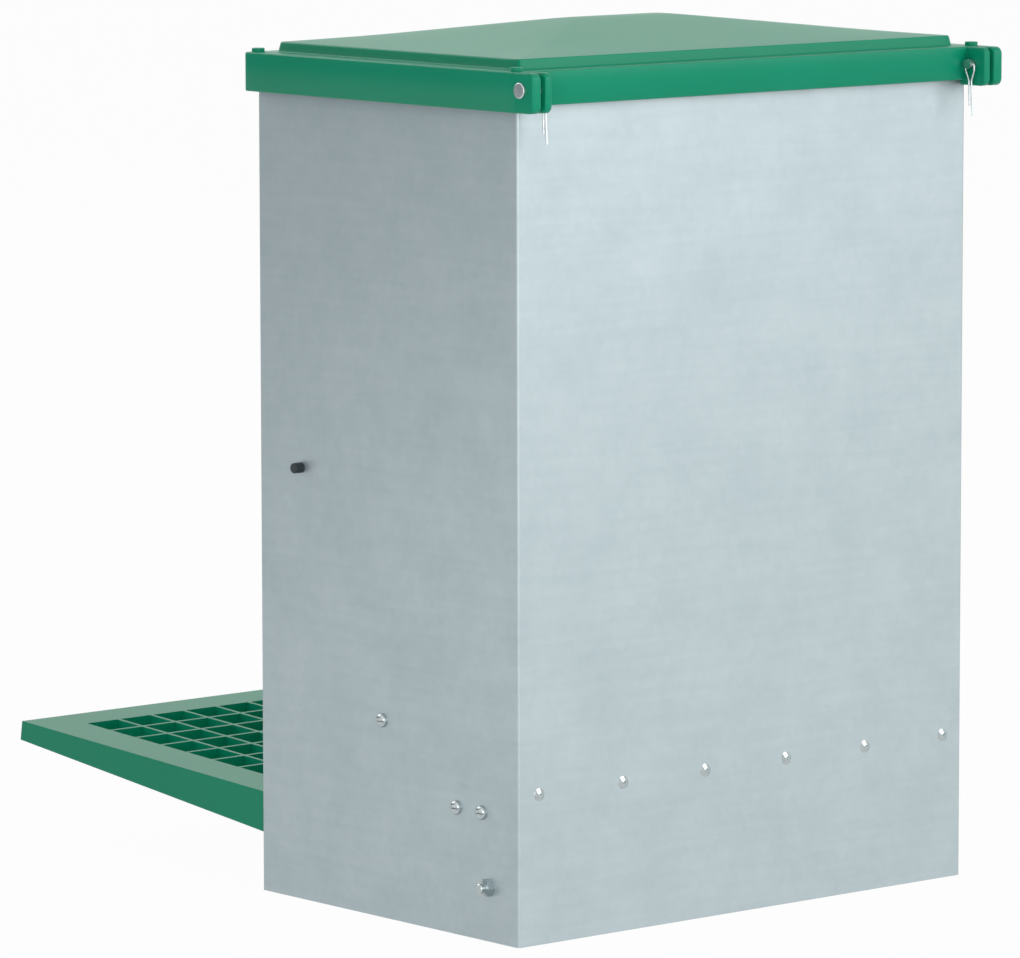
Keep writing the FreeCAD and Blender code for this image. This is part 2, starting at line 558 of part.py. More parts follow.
def lid():
    """One-piece moulded lid: ledge, raised middle, skirts, back band and hinge ears."""
    plate = block(-LID_HALF, LID_HALF, LID_FRONT, LID_BACK, LID_UNDER, LEDGE)
    side = block(LID_HALF - LID_WALL, LID_HALF, LID_FRONT, LID_BACK, SKIRT_BOTTOM, LEDGE)
    front = block(-LID_HALF, LID_HALF, LID_FRONT, LID_FRONT + LID_FRONT_WALL,
                  SKIRT_BOTTOM, LEDGE)
    band = block(-INNER_EAR_IN, INNER_EAR_IN, LID_BACK - LID_WALL, LID_BACK,
                 BAND_BOTTOM, LEDGE)
    outer_ear = lid_ear(LID_HALF - OUTER_EAR, LID_HALF, BACK - EAR_ROOT)
    inner_ear = lid_ear(INNER_EAR_IN, INNER_EAR_OUT, LID_BACK - LID_WALL)
    lug = Part.makeCylinder(LID_LUG_RADIUS, LID_LUG_HEIGHT + LID_LUG_SINK,
                            Vector(LID_HALF - LID_LUG_INSET, 0, LEDGE - LID_LUG_SINK))
    front_lug = lug.translated(Vector(0, LID_FRONT + LID_LUG_INSET, 0))
    back_lug = lug.translated(Vector(0, LID_BACK - LID_LUG_INSET, 0))
    shell = fuse([plate, front, band] + both_sides(side))
    shell = cut(shell, [raised_middle(LID_WALL)])
    middle = raised_middle(0).cut(raised_middle(LID_WALL))
    lid_body = fuse([shell, middle] + both_sides(outer_ear) + both_sides(inner_ear)
                    + both_sides(front_lug) + both_sides(back_lug))
    bore = rod_x(PIN_RADIUS + RUNNING_FIT, -LID_HALF - 1, LID_HALF + 1, HINGE_Y, HINGE_Z)
    return cut(lid_body, [bore])


def hinge_pin():
    """Headed pin through the ears, cross-drilled at its inner end for the clip."""
    inner_end = INNER_EAR_IN - PIN_TAIL
    head = rod_x(PIN_HEAD_RADIUS, LID_HALF, LID_HALF + PIN_HEAD_HEIGHT, HINGE_Y, HINGE_Z)
    rim = [e for e in head.Edges if e.BoundBox.XMin > LID_HALF + PIN_HEAD_HEIGHT / 2]
    head = head.makeFillet(PIN_HEAD_ROUND, rim)
    shank = rod_x(PIN_RADIUS, inner_end, LID_HALF, HINGE_Y, HINGE_Z)
    hole = rod_y(CLIP_WIRE + FIXED_FIT, HINGE_Y - 2 * PIN_RADIUS, HINGE_Y + 2 * PIN_RADIUS,
                 clip_x(), HINGE_Z)
    return cut(fuse([head, shank]), [hole])


def clip_x():
    """X of the clip, on the pin's bare end."""
    return INNER_EAR_IN - CLIP_FROM_EAR


def pin_clip():
    """Bent wire through the pin's cross hole, crossed below it, with two hanging legs."""
    x = clip_x()
    eye = CLIP_EYE_HALF
    waist = HINGE_Z - CLIP_WAIST
    shoulder = HINGE_Z - CLIP_SHOULDER
    points = [(x, HINGE_Y, HINGE_Z - CLIP_LEG_SHORT),
              (x, HINGE_Y - CLIP_PART, waist),
              (x, HINGE_Y - eye, shoulder),
              (x, HINGE_Y - eye, HINGE_Z),
              (x, HINGE_Y + eye, HINGE_Z),
              (x, HINGE_Y + eye, shoulder),
              (x, HINGE_Y + 2 * CLIP_PART, waist),
              (x, HINGE_Y + CLIP_SPLAY, HINGE_Z - CLIP_LEG_LONG)]
    return bent_wire(points, CLIP_WIRE, CLIP_BEND)


# ---------------------------------------------------------------- treadle
def treadle():
    """One-piece moulded treadle: bordered grid platform and two arms back to the pivot."""
    rear = PLATFORM_REAR
    under = min(treadle_bottom(rear), 0) - 1
    outer = prism_x([(TIP + TREADLE_TIP_LEAN, treadle_top(TIP + TREADLE_TIP_LEAN)),
                     (rear, treadle_top(rear)), (rear, treadle_bottom(rear)),
                     (TIP, treadle_bottom(TIP))], -TREADLE_HALF, TREADLE_HALF)
    front_in = TIP + TREADLE_TIP_LEAN + TREADLE_SKIRT
    rear_in = rear - TREADLE_SKIRT
    pocket = prism_x([(front_in, treadle_top(front_in) - TREADLE_PLATE),
                      (rear_in, treadle_top(rear_in) - TREADLE_PLATE),
                      (rear_in, under), (front_in, under)], -ARM_IN, ARM_IN)
    grid_half = (GRID_COLUMNS * GRID_PITCH + GRID_BAR) / 2
    grid_front = TIP + GRID_FRONT_BORDER - GRID_BAR
    grid_rear = grid_front + GRID_ROWS * GRID_PITCH + GRID_BAR
    grid = prism_x([(grid_front, treadle_top(grid_front)), (grid_rear, treadle_top(grid_rear)),
                    (grid_rear, treadle_top(grid_rear) - GRID_DEPTH),
                    (grid_front, treadle_top(grid_front) - GRID_DEPTH)], -grid_half, grid_half)
    platform = fuse([outer.cut(pocket), grid.common(outer)])
    size = GRID_PITCH - GRID_BAR
    openings = []
    for column in range(GRID_COLUMNS):
        x = -grid_half + GRID_BAR + column * GRID_PITCH
        for row in range(GRID_ROWS):
            y = grid_front + GRID_BAR + row * GRID_PITCH
            openings.append(block(x, x + size, y, y + size, 0, TREADLE_TIP_TOP + 10))
    platform = cut(platform, openings)
    start = rear - TREADLE_SKIRT
    arm = prism_x([(start, treadle_top(start)), (PIVOT_Y, treadle_top(PIVOT_Y)),
                   (PIVOT_Y, treadle_bottom(PIVOT_Y)), (start, treadle_bottom(start))],
                  ARM_IN, TREADLE_HALF)
    boss = rod_x(PIVOT_BOSS, ARM_IN, TREADLE_HALF, PIVOT_Y, PIVOT_Z)
    body = fuse([platform] + both_sides(arm) + both_sides(boss))
    bores = [rod_x(PIVOT_SLEEVE_RADIUS + RUNNING_FIT, -HALF, HALF, PIVOT_Y, PIVOT_Z),
             rod_x(LINK_WIRE + RUNNING_FIT, -HALF, HALF, LINK_Y, LINK_HEIGHT),
             rod_x(HOOK_HOLE, -HALF, HALF, BAFFLE_SCREW_Y, HOOK_HEIGHT)]
    return cut(body, bores)


def hexagon(flats, height, x, y, z):
    """Hexagonal prism along +X with flats at top and bottom."""
    corner = flats / sqrt(3)
    points = [(y + corner * cos(radians(60 * i)), z + corner * sin(radians(60 * i)))
              for i in range(6)]
    return prism_x(points, x, x + height)


def pivot_bolt():
    """Bolt from inside through the arm's sleeve and the side panel."""
    head_x = ARM_IN - WASHER_SPACE - BOLT_HEAD_HEIGHT
    end = HALF + LOCKNUT_HEIGHT + BOLT_TAIL
    head = hexagon(LOCKNUT_FLATS, BOLT_HEAD_HEIGHT, head_x, PIVOT_Y, PIVOT_Z)
    shank = rod_x(PIVOT_BOLT_RADIUS, head_x, end, PIVOT_Y, PIVOT_Z)
    tip = [e for e in shank.Edges if e.BoundBox.XMin > end - 0.1]
    return fuse([head, shank.makeChamfer(BOLT_CHAMFER, tip)])


def pivot_sleeve():
    """Steel sleeve that the arm turns on, clamped against the side panel."""
    outer = rod_x(PIVOT_SLEEVE_RADIUS, ARM_IN - PIVOT_SLEEVE_PROUD, INSIDE, PIVOT_Y, PIVOT_Z)
    bore = rod_x(PIVOT_BOLT_RADIUS + FIXED_FIT / 2, 0, HALF, PIVOT_Y, PIVOT_Z)
    return outer.cut(bore)


def pivot_washer():
    """Washer under the bolt's head."""
    x = ARM_IN - WASHER_SPACE
    bore = rod_x(PIVOT_BOLT_RADIUS + FIXED_FIT / 2, 0, LID_HALF, PIVOT_Y, PIVOT_Z)
    return rod_x(WASHER_RADIUS, x, x + WASHER_HEIGHT, PIVOT_Y, PIVOT_Z).cut(bore)


def pivot_locknut():
    """Lock nut: hexagon with a rounded collar for its insert."""
    x = HALF
    nut = hexagon(LOCKNUT_FLATS, LOCKNUT_HEX_HEIGHT, x, PIVOT_Y, PIVOT_Z)
    wide, narrow = LOCKNUT_BEVEL_RADII
    bevel = Part.makeCone(wide, narrow, LOCKNUT_HEX_HEIGHT,
                          Vector(x, PIVOT_Y, PIVOT_Z), Vector(1, 0, 0))
    lower = rod_x(LOCKNUT_LOWER_RADIUS, x, x + LOCKNUT_LOWER_HEIGHT, PIVOT_Y, PIVOT_Z)
    nut = nut.common(fuse([bevel, lower]))
    collar = rod_x(LOCKNUT_COLLAR_RADIUS, x + LOCKNUT_HEX_HEIGHT, x + LOCKNUT_HEIGHT,
                   PIVOT_Y, PIVOT_Z)
    bore = rod_x(PIVOT_BOLT_RADIUS, x - 1, x + LOCKNUT_HEIGHT + 1, PIVOT_Y, PIVOT_Z)
    return fuse([nut, collar]).cut(bore)


# ---------------------------------------------------------------- flap and linkage
def flap():
    """Moulded trough cover on a long barrel, with a crank at each end."""
    barrel = rod_x(BARREL_RADIUS, -CRANK_OUT, CRANK_OUT, ROD_Y, ROD_Z)
    sheet = block(-FLAP_HALF, FLAP_HALF, ROD_Y - FLAP_THICKNESS / 2, ROD_Y + FLAP_THICKNESS / 2,
                  ROD_Z - FLAP_LENGTH, ROD_Z)
    lip = block(-FLAP_HALF, FLAP_HALF, ROD_Y - FLAP_THICKNESS / 2, ROD_Y + FLAP_LIP_DEPTH,
                ROD_Z - FLAP_LENGTH, ROD_Z - FLAP_LENGTH + FLAP_THICKNESS)
    rib = prism_x([(ROD_Y, ROD_Z), (ROD_Y + BARREL_RADIUS, ROD_Z),
                   (ROD_Y + FLAP_LIP_DEPTH, ROD_Z - FLAP_LENGTH + FLAP_THICKNESS / 2),
                   (ROD_Y, ROD_Z - FLAP_LENGTH + FLAP_THICKNESS / 2)],
                  FLAP_HALF - FLAP_THICKNESS, FLAP_HALF)
    hanging = fuse([sheet, lip] + both_sides(rib))
    hanging.rotate(Vector(0, ROD_Y, ROD_Z), Vector(1, 0, 0), -FLAP_REST_LEAN)
    rise = radians(FLAP_TRAVEL / 2)
    side_y = BARREL_RADIUS * sin(rise)
    side_z = BARREL_RADIUS * cos(rise)
    web = prism_x([(ROD_Y + side_y, ROD_Z + side_z), (CRANK_Y + side_y, CRANK_Z + side_z),
                   (CRANK_Y - side_y, CRANK_Z - side_z), (ROD_Y - side_y, ROD_Z - side_z)],
                  CRANK_IN, CRANK_OUT)
    boss = rod_x(CRANK_BOSS, CRANK_IN, CRANK_OUT, CRANK_Y, CRANK_Z)
    crank = fuse([web, boss])
    body = fuse([barrel, hanging] + both_sides(crank))
    eyes = rod_x(LINK_WIRE + LINK_FREE_PLAY, -HALF, HALF, CRANK_Y, CRANK_Z)
    bore = rod_x(ROD_RADIUS + RUNNING_FIT, -HALF, HALF, ROD_Y, ROD_Z)
    return cut(body, [eyes, bore])


def flap_rod():
    """Round rod that the flap turns on, through both side panels."""
    end = HALF + CAP_LENGTH - CAP_END_WALL
    return rod_x(ROD_RADIUS, -end, end, ROD_Y, ROD_Z)


def rod_cap():
    """Push-on cap over the rod's end, with a domed edge."""
    end = HALF + CAP_LENGTH
    cap = rod_x(CAP_RADIUS, HALF, end, ROD_Y, ROD_Z)
    rim = [e for e in cap.Edges if e.BoundBox.XMin > end - 0.1]
    cap = cap.makeFillet(CAP_ROUND, rim)
    return cap.cut(rod_x(ROD_RADIUS, HALF - 1, end - CAP_END_WALL, ROD_Y, ROD_Z))


def link_rod():
    """Lift link: wire rod with its lower end in the arm and its upper end in the crank."""
    arm_end = INSIDE - SIDE_PLAY
    crank_end = CRANK_IN - LINK_CRANK_TAIL
    return bent_wire([(arm_end, LINK_Y, LINK_HEIGHT), (LINK_X, LINK_Y, LINK_HEIGHT),
                      (LINK_X, CRANK_Y, CRANK_Z), (crank_end, CRANK_Y, CRANK_Z)],
                     LINK_WIRE, LINK_BEND)


# ---------------------------------------------------------------- return spring
def spring_x():
    """X of the spring: beside the inner face of the arm, on the baffle screw's tail."""
    return FLANGE_IN - NUT_HEIGHT - SPRING_WIRE - SPRING_LOOP_GAP


def return_spring():
    """Extension spring from the baffle screw down to the hook hole in the arm."""
    x = spring_x()
    length = SPRING_TURNS * SPRING_PITCH
    middle = (BAFFLE_SCREW_Z + HOOK_HEIGHT) / 2
    low = middle - length / 2
    helix = Part.makeHelix(SPRING_PITCH, length, SPRING_RADIUS)
    ring = Part.Wire(Part.makeCircle(SPRING_WIRE, Vector(SPRING_RADIUS, 0, 0), Vector(0, 1, 0)))
    coil = helix.makePipeShell([ring], True, True)
    coil.translate(Vector(x, BAFFLE_SCREW_Y, low))
    start = (x + SPRING_RADIUS, BAFFLE_SCREW_Y)
    hook = bent_wire([(start[0], start[1] + SPRING_OVERLAP, low + SPRING_END_STEP),
                      (x - SPRING_WIRE, start[1], low - SPRING_PITCH),
                      (x - SPRING_WIRE, start[1], HOOK_HEIGHT),
                      (TREADLE_HALF + SIDE_PLAY, start[1], HOOK_HEIGHT)],
                     SPRING_WIRE, SPRING_HOOK_BEND)
    loop_radius = SCREW_RADIUS + FIXED_FIT + SPRING_WIRE
    loop = Part.makeTorus(loop_radius, SPRING_WIRE, Vector(x, BAFFLE_SCREW_Y, BAFFLE_SCREW_Z),
                          Vector(1, 0, 0))
    neck = bent_wire([(start[0], start[1] + SPRING_OVERLAP, low + length - SPRING_END_STEP),
                      (x, start[1], low + length + SPRING_PITCH),
                      (x, start[1], BAFFLE_SCREW_Z - loop_radius)],
                     SPRING_WIRE, SPRING_NECK_BEND)
    return fuse([coil, hook, neck, loop])


# ---------------------------------------------------------------- fasteners
def rivet(grip):
    """Blind rivet along +Y: domed head outside at y = 0, tail inside at y = -grip."""
    ball = (RIVET_HEAD_RADIUS ** 2 + RIVET_HEAD_HEIGHT ** 2) / (2 * RIVET_HEAD_HEIGHT)
    head = Part.makeSphere(ball, Vector(0, RIVET_HEAD_HEIGHT - ball, 0))
    head = head.common(block(-ball, ball, 0, ball, -ball, ball))
    shank = rod_y(RIVET_RADIUS, -grip, RIVET_SINK, 0, 0)
    tail = rod_y(RIVET_TAIL_RADIUS, -grip - RIVET_TAIL_LENGTH, -grip, 0, 0)
    recess = rod_y(RIVET_RECESS, RIVET_HEAD_HEIGHT - RIVET_RECESS_DEPTH, RIVET_HEAD_HEIGHT + 1, 0, 0)
    return fuse([head, shank, tail]).cut(recess)


def back_rivets():
    """Row of blind rivets through the back panel and the floor's rear flange."""
    return group(rivet(2 * SHEET).translated(Vector(x, BACK, BACK_RIVET_HEIGHT))
                 for x in back_rivet_places())


def facing_front(shape):
    """Turn a rivet so that its head faces the front."""
    shape.rotate(ORIGIN, Vector(0, 0, 1), 180)
    return shape


def front_rivets():
    """Rivets through the front returns, holding the front panel and the trough."""
    return group(facing_front(rivet(2 * SHEET)).translated(Vector(x, FRONT, z))
                 for x, z in front_rivet_places())


def baffle_rivets():
    """Rivets through the front panel and the baffle's top flange."""
    return group(facing_front(rivet(2 * SHEET)).translated(Vector(x, FRONT_IN, BAFFLE_RIVET_Z))
                 for x in baffle_rivet_places())


def pan_screw(y, z, tail):
    """Slotted pan-head screw from outside, its end at x = tail."""
    head = rod_x(SCREW_HEAD_RADIUS, HALF, HALF + SCREW_HEAD_HEIGHT, y, z)
    rim = [e for e in head.Edges if e.BoundBox.XMin > HALF + SCREW_HEAD_HEIGHT - 0.1]
    head = head.makeFillet(SCREW_HEAD_ROUND, rim)
    slot = block(HALF + SCREW_HEAD_HEIGHT - SCREW_SLOT_DEPTH, HALF + SCREW_HEAD_HEIGHT + 1,
                 y - 2 * SCREW_HEAD_RADIUS, y + 2 * SCREW_HEAD_RADIUS,
                 z - SCREW_SLOT / 2, z + SCREW_SLOT / 2)
    shank = rod_x(SCREW_RADIUS, tail, HALF, y, z)
    return fuse([head, shank]).cut(slot)


def hex_nut(x_out, y, z):
    """Plain hexagon nut inside the body, its outer face at x_out."""
    nut = hexagon(NUT_FLATS, NUT_HEIGHT, x_out - NUT_HEIGHT, y, z)
    return nut.cut(rod_x(SCREW_RADIUS, x_out - NUT_HEIGHT - 1, x_out + 1, y, z))


def floor_screws():
    """Screws that hold the hopper floor's side flanges."""
    tail = FLANGE_IN - NUT_HEIGHT - SCREW_TAIL
    solids = []
    for y, z in floor_screw_places():
        solids += both_sides(pan_screw(y, z, tail))
    return group(solids)


def floor_screw_nuts():
    """Nuts of the floor screws."""
    solids = []
    for y, z in floor_screw_places():
        solids += both_sides(hex_nut(FLANGE_IN, y, z))
    return group(solids)


def baffle_screw_tail():
    """X of the inner end of the baffle screws, beyond the second nut."""
    return spring_x() - SPRING_LOOP_GAP - SPRING_WIRE - NUT_HEIGHT - SCREW_TAIL_SHORT


def baffle_screws():
    """Longer screws that hold the baffle's flanges and carry the springs' upper loops."""
    return group(both_sides(pan_screw(BAFFLE_SCREW_Y, BAFFLE_SCREW_Z, baffle_screw_tail())))


def baffle_screw_nuts():
    """Two nuts on each baffle screw, one each side of the spring's loop."""
    inner_face = baffle_screw_tail() + SCREW_TAIL_SHORT + NUT_HEIGHT
    solids = []
    for face in (FLANGE_IN, inner_face):
        solids += both_sides(hex_nut(face, BAFFLE_SCREW_Y, BAFFLE_SCREW_Z))
    return group(solids)


# ---------------------------------------------------------------- build
def build():
    """Make every sub-part; pairs share a shape and differ by side."""
    parts = {
        "body_shell": body_shell(),
        "front_panel": front_panel(),
        "hopper_baffle": hopper_baffle(),
        "hopper_floor": hopper_floor(),
        "feed_trough": feed_trough(),
        "lid": lid(),
        "treadle": treadle(),
        "flap": flap(),
        "flap_rod": flap_rod(),
        "back_rivets": back_rivets(),
        "front_rivets": front_rivets(),
        "baffle_rivets": baffle_rivets(),
        "floor_screws": floor_screws(),
        "floor_screw_nuts": floor_screw_nuts(),
        "baffle_screws": baffle_screws(),
        "baffle_screw_nuts": baffle_screw_nuts(),
        "pivot_washers": group(both_sides(pivot_washer())),
    }
    pairs = {
        "hinge_pin": hinge_pin(),
        "hinge_pin_clip": pin_clip(),
        "pivot_bolt": pivot_bolt(),
        "pivot_sleeve": pivot_sleeve(),
        "pivot_locknut": pivot_locknut(),
        "rod_cap": rod_cap(),
        "link_rod": link_rod(),
        "return_spring": return_spring(),
    }
    for name, shape in pairs.items():
        parts[name + "_left"] = shape
        parts[name + "_right"] = mirrored(shape)
    return parts


os.makedirs("parts", exist_ok=True)
for node, solid in build().items():
    save(node, solid)
print("lid hinge", 0, HINGE_Y, HINGE_Z)
print("treadle pivot", 0, PIVOT_Y, PIVOT_Z)
print("flap rod", 0, ROD_Y, ROD_Z)
print("link lower end", LINK_X, LINK_Y, LINK_HEIGHT)
print("crank", CRANK_Y, CRANK_Z, "radius", CRANK_RADIUS)
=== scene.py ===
"""Looks of the treadle poultry feeder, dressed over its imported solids.

The scene is in metres. Sizes are in millimetres unless a comment says otherwise.
"""

import json
import logging
import math
from dataclasses import dataclass
from enum import Enum

import bmesh
import bpy
import numpy as np
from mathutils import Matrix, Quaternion, Vector

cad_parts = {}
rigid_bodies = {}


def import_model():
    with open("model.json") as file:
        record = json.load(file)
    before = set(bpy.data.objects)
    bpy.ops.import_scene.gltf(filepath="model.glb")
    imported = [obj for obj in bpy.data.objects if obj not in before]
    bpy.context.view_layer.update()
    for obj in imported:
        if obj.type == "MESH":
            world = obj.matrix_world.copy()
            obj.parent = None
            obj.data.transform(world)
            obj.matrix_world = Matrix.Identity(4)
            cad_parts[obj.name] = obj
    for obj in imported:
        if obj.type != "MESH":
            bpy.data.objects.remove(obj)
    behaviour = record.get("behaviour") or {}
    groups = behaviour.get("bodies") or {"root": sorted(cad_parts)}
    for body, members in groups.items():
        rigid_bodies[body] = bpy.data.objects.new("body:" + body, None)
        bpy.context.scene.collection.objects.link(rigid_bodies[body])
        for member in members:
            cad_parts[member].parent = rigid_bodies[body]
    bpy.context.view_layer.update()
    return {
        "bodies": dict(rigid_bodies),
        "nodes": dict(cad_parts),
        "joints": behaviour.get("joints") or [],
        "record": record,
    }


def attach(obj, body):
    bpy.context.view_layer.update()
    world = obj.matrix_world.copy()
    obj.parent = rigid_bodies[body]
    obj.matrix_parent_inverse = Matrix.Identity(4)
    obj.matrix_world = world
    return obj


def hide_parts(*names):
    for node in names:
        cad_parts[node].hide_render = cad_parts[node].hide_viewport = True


LOG = logging.getLogger("feeder")
MM = 0.001
SHARP_ANGLE = math.radians(50)   # steeper edges stay sharp
RIM_STEPS = 5                    # rings or points in a small rounded edge
CORNER_STEPS = 9                 # points on each rounded corner of an ear


class Slot(Enum):
    """Finishes of the feeder, by the name of their slot in the record."""

    SHEET = "galvanised_sheet"
    MOULDING = "green_moulding"
    FASTENER = "zinc_fastener"
    ROD = "bright_rod"
    WIRE = "spring_wire"
    CAP = "black_cap"


def linear(code: str) -> tuple[float, float, float, float]:
    """Turn a colour code into the linear values that a shader takes.

    Args:
        code: sRGB colour as six hexadecimal digits after a hash.

    Returns:
        Linear red, green, blue and an alpha of 1.
    """
    parts = np.array([int(code[i:i + 2], 16) for i in (1, 3, 5)]) / 255.0
    flat = np.where(parts <= 0.04045, parts / 12.92, ((parts + 0.055) / 1.055) ** 2.4)
    return (float(flat[0]), float(flat[1]), float(flat[2]), 1.0)


def add(tree: bpy.types.NodeTree, kind: str, inputs: dict | None = None,
        links: dict | None = None, **settings: object) -> bpy.types.Node:
    """Add one node with its settings, its fixed inputs and its links.

    Args:
        tree: Node tree that the node goes into.
        kind: Type name of the node.
        inputs: Fixed values by input name or number.
        links: Output sockets by the input name or number that they feed.
        settings: Properties of the node itself.

    Returns:
        The new node.
    """
    node = tree.nodes.new(kind)
    for name, value in settings.items():
        setattr(node, name, value)
    for name, value in (inputs or {}).items():
        node.inputs[name].default_value = value
    for name, socket in (links or {}).items():
        tree.links.new(socket, node.inputs[name])
    return node


def per_metre(size: float) -> float:
    """Texture scale, in repeats per metre, of a feature of the given size in millimetres."""
    return 1.0 / (size * MM)


def blank_material(name: str) -> tuple[bpy.types.Material, bpy.types.NodeTree, bpy.types.NodeSocket]:
    """New material with object coordinates to place its patterns.

    Args:
        name: Name of the material.

    Returns:
        The material, its node tree, and the socket that carries the object coordinates.
    """
    made = bpy.data.materials.new(name)
    made.use_nodes = True
    tree = made.node_tree
    return made, tree, add(tree, "ShaderNodeTexCoord").outputs["Object"]


def drive_shader(tree: bpy.types.NodeTree, maps: dict[str, bpy.types.NodeSocket],
                 fixed: dict[str, float] | None = None) -> None:
    """Link the maps to the material's shader, and set its fixed inputs.

    Args:
        tree: Node tree of the material.
        maps: Sockets by the shader input that they feed.
        fixed: Values by shader input.
    """
    shader = tree.nodes["Principled BSDF"]
    for name, socket in maps.items():
        tree.links.new(socket, shader.inputs[name])
    for name, value in (fixed or {}).items():
        shader.inputs[name].default_value = value


@dataclass(frozen=True)
class GalvanisedSheet:
    """Hot-dip galvanised sheet: a dull blue-grey face with small soft crystals and cloudy patches."""

    dark: str = "#A9B7BB"
    light: str = "#BAC7CB"
    crystal: float = 5.0        # width of one zinc crystal
    cloud: float = 38.0         # width of a cloudy patch
    rolling: float = 3.0        # spacing of the rolling marks, drawn coarser than real so that they show
    crystal_share: float = 0.14  # weight of the crystals against the clouds
    rolling_share: float = 0.25  # weight of the rolling marks against both
    relief: float = 0.10
    relief_height: float = 0.15
    edge: float = 0.35          # softened sheet edges
    metallic: float = 0.62
    roughness: tuple[float, float] = (0.36, 0.50)

    def material(self) -> bpy.types.Material:
        """Zinc crystals, clouds and rolling marks drive colour, roughness and a faint bump.

        Returns:
            The finished material.
        """
        made, tree, place = blank_material("hot_dip_galvanised_sheet")
        crystals = add(tree, "ShaderNodeTexVoronoi", {"Scale": per_metre(self.crystal), "Randomness": 1.0},
                       {"Vector": place})
        grey = add(tree, "ShaderNodeRGBToBW", links={"Color": crystals.outputs["Color"]})
        clouds = add(tree, "ShaderNodeTexNoise",
                     {"Scale": per_metre(self.cloud), "Detail": 6.0, "Roughness": 0.62}, {"Vector": place})
        along = add(tree, "ShaderNodeMapping", {"Scale": (0.05, 0.05, 1.0)}, {"Vector": place})
        marks = add(tree, "ShaderNodeTexNoise", {"Scale": per_metre(self.rolling), "Detail": 3.0},
                    {"Vector": along.outputs["Vector"]})
        first = add(tree, "ShaderNodeMix", {0: self.crystal_share},
                    {2: clouds.outputs["Fac"], 3: grey.outputs["Val"]})
        second = add(tree, "ShaderNodeMix", {0: self.rolling_share},
                     {2: first.outputs[0], 3: marks.outputs["Fac"]})
        spread = add(tree, "ShaderNodeMapRange", {"From Min": 0.25, "From Max": 0.75},
                     {"Value": second.outputs[0]})
        zinc = add(tree, "ShaderNodeMix", {6: linear(self.dark), 7: linear(self.light)},
                   {0: spread.outputs["Result"]}, data_type="RGBA")
        rough = add(tree, "ShaderNodeMapRange", {"To Min": self.roughness[1], "To Max": self.roughness[0]},
                    {"Value": second.outputs[0]})
        soft = add(tree, "ShaderNodeBevel", {"Radius": self.edge * MM}, samples=2)
        bump = add(tree, "ShaderNodeBump", {"Strength": self.relief, "Distance": self.relief_height * MM},
                   {"Height": second.outputs[0], "Normal": soft.outputs["Normal"]})
        drive_shader(tree, {"Base Color": zinc.outputs[2], "Roughness": rough.outputs["Result"],
                            "Normal": bump.outputs["Normal"]}, {"Metallic": self.metallic})
        return made


@dataclass(frozen=True)
class MouldedPolypropylene:
    """Moulded polypropylene: an even green with a fine spark-eroded grain and a soft sheen at low angles."""

    deep: str = "#028B67"
    bright: str = "#059672"
    flow: float = 70.0          # width of the faint flow patches
    grain: float = 1.1          # mould grain, drawn coarser than the real 0.3 so that it shows
    edge: float = 0.4           # moulded edge radius
    roughness: tuple[float, float] = (0.36, 0.46)
    ior: float = 1.49
    gloss: float = 0.10         # polypropylene's waxy skin reflects little straight on
    skin: float = 0.50          # thin smooth skin, which shows only at low angles
    skin_ior: float = 1.25
    skin_roughness: float = 0.28
    relief: float = 0.12
    relief_height: float = 0.05

    def material(self) -> bpy.types.Material:
        """Flow patches tint the green, and the mould grain gives roughness and bump.

        Returns:
            The finished material.
        """
        made, tree, place = blank_material("moulded_polypropylene_green")
        flow = add(tree, "ShaderNodeTexNoise", {"Scale": per_metre(self.flow), "Detail": 3.0},
                   {"Vector": place})
        grain = add(tree, "ShaderNodeTexNoise", {"Scale": per_metre(self.grain), "Detail": 2.0},
                    {"Vector": place})
        tint = add(tree, "ShaderNodeMix", {6: linear(self.deep), 7: linear(self.bright)},
                   {0: flow.outputs["Fac"]}, data_type="RGBA")
        rough = add(tree, "ShaderNodeMapRange", {"To Min": self.roughness[0], "To Max": self.roughness[1]},
                    {"Value": grain.outputs["Fac"]})
        soft = add(tree, "ShaderNodeBevel", {"Radius": self.edge * MM}, samples=2)
        bump = add(tree, "ShaderNodeBump", {"Strength": self.relief, "Distance": self.relief_height * MM},
                   {"Height": grain.outputs["Fac"], "Normal": soft.outputs["Normal"]})
        drive_shader(tree, {"Base Color": tint.outputs[2], "Roughness": rough.outputs["Result"],
                            "Normal": bump.outputs["Normal"]},
                     {"IOR": self.ior, "Specular IOR Level": self.gloss, "Coat Weight": self.skin,
                      "Coat IOR": self.skin_ior, "Coat Roughness": self.skin_roughness})
        return made


@dataclass(frozen=True)
class PlatedSteel:
    """Steel under bright zinc, or drawn bright: small sharp highlights broken by faint handling marks."""

    name: str
    dark: str
    light: str
    mark: float                 # width of a handling mark
    roughness: tuple[float, float]
    relief: float = 0.02
    relief_height: float = 0.05

    def material(self) -> bpy.types.Material:
        """Handling marks vary the tone and the roughness.

        Returns:
            The finished material.
        """
        made, tree, place = blank_material(self.name)
        marks = add(tree, "ShaderNodeTexNoise", {"Scale": per_metre(self.mark), "Detail": 4.0},
                    {"Vector": place})
        tone = add(tree, "ShaderNodeMix", {6: linear(self.dark), 7: linear(self.light)},
                   {0: marks.outputs["Fac"]}, data_type="RGBA")
        rough = add(tree, "ShaderNodeMapRange", {"To Min": self.roughness[0], "To Max": self.roughness[1]},
                    {"Value": marks.outputs["Fac"]})
        bump = add(tree, "ShaderNodeBump", {"Strength": self.relief, "Distance": self.relief_height * MM},
                   {"Height": marks.outputs["Fac"]})
        drive_shader(tree, {"Base Color": tone.outputs[2], "Roughness": rough.outputs["Result"],
                            "Normal": bump.outputs["Normal"]}, {"Metallic": 1.0})
        return made


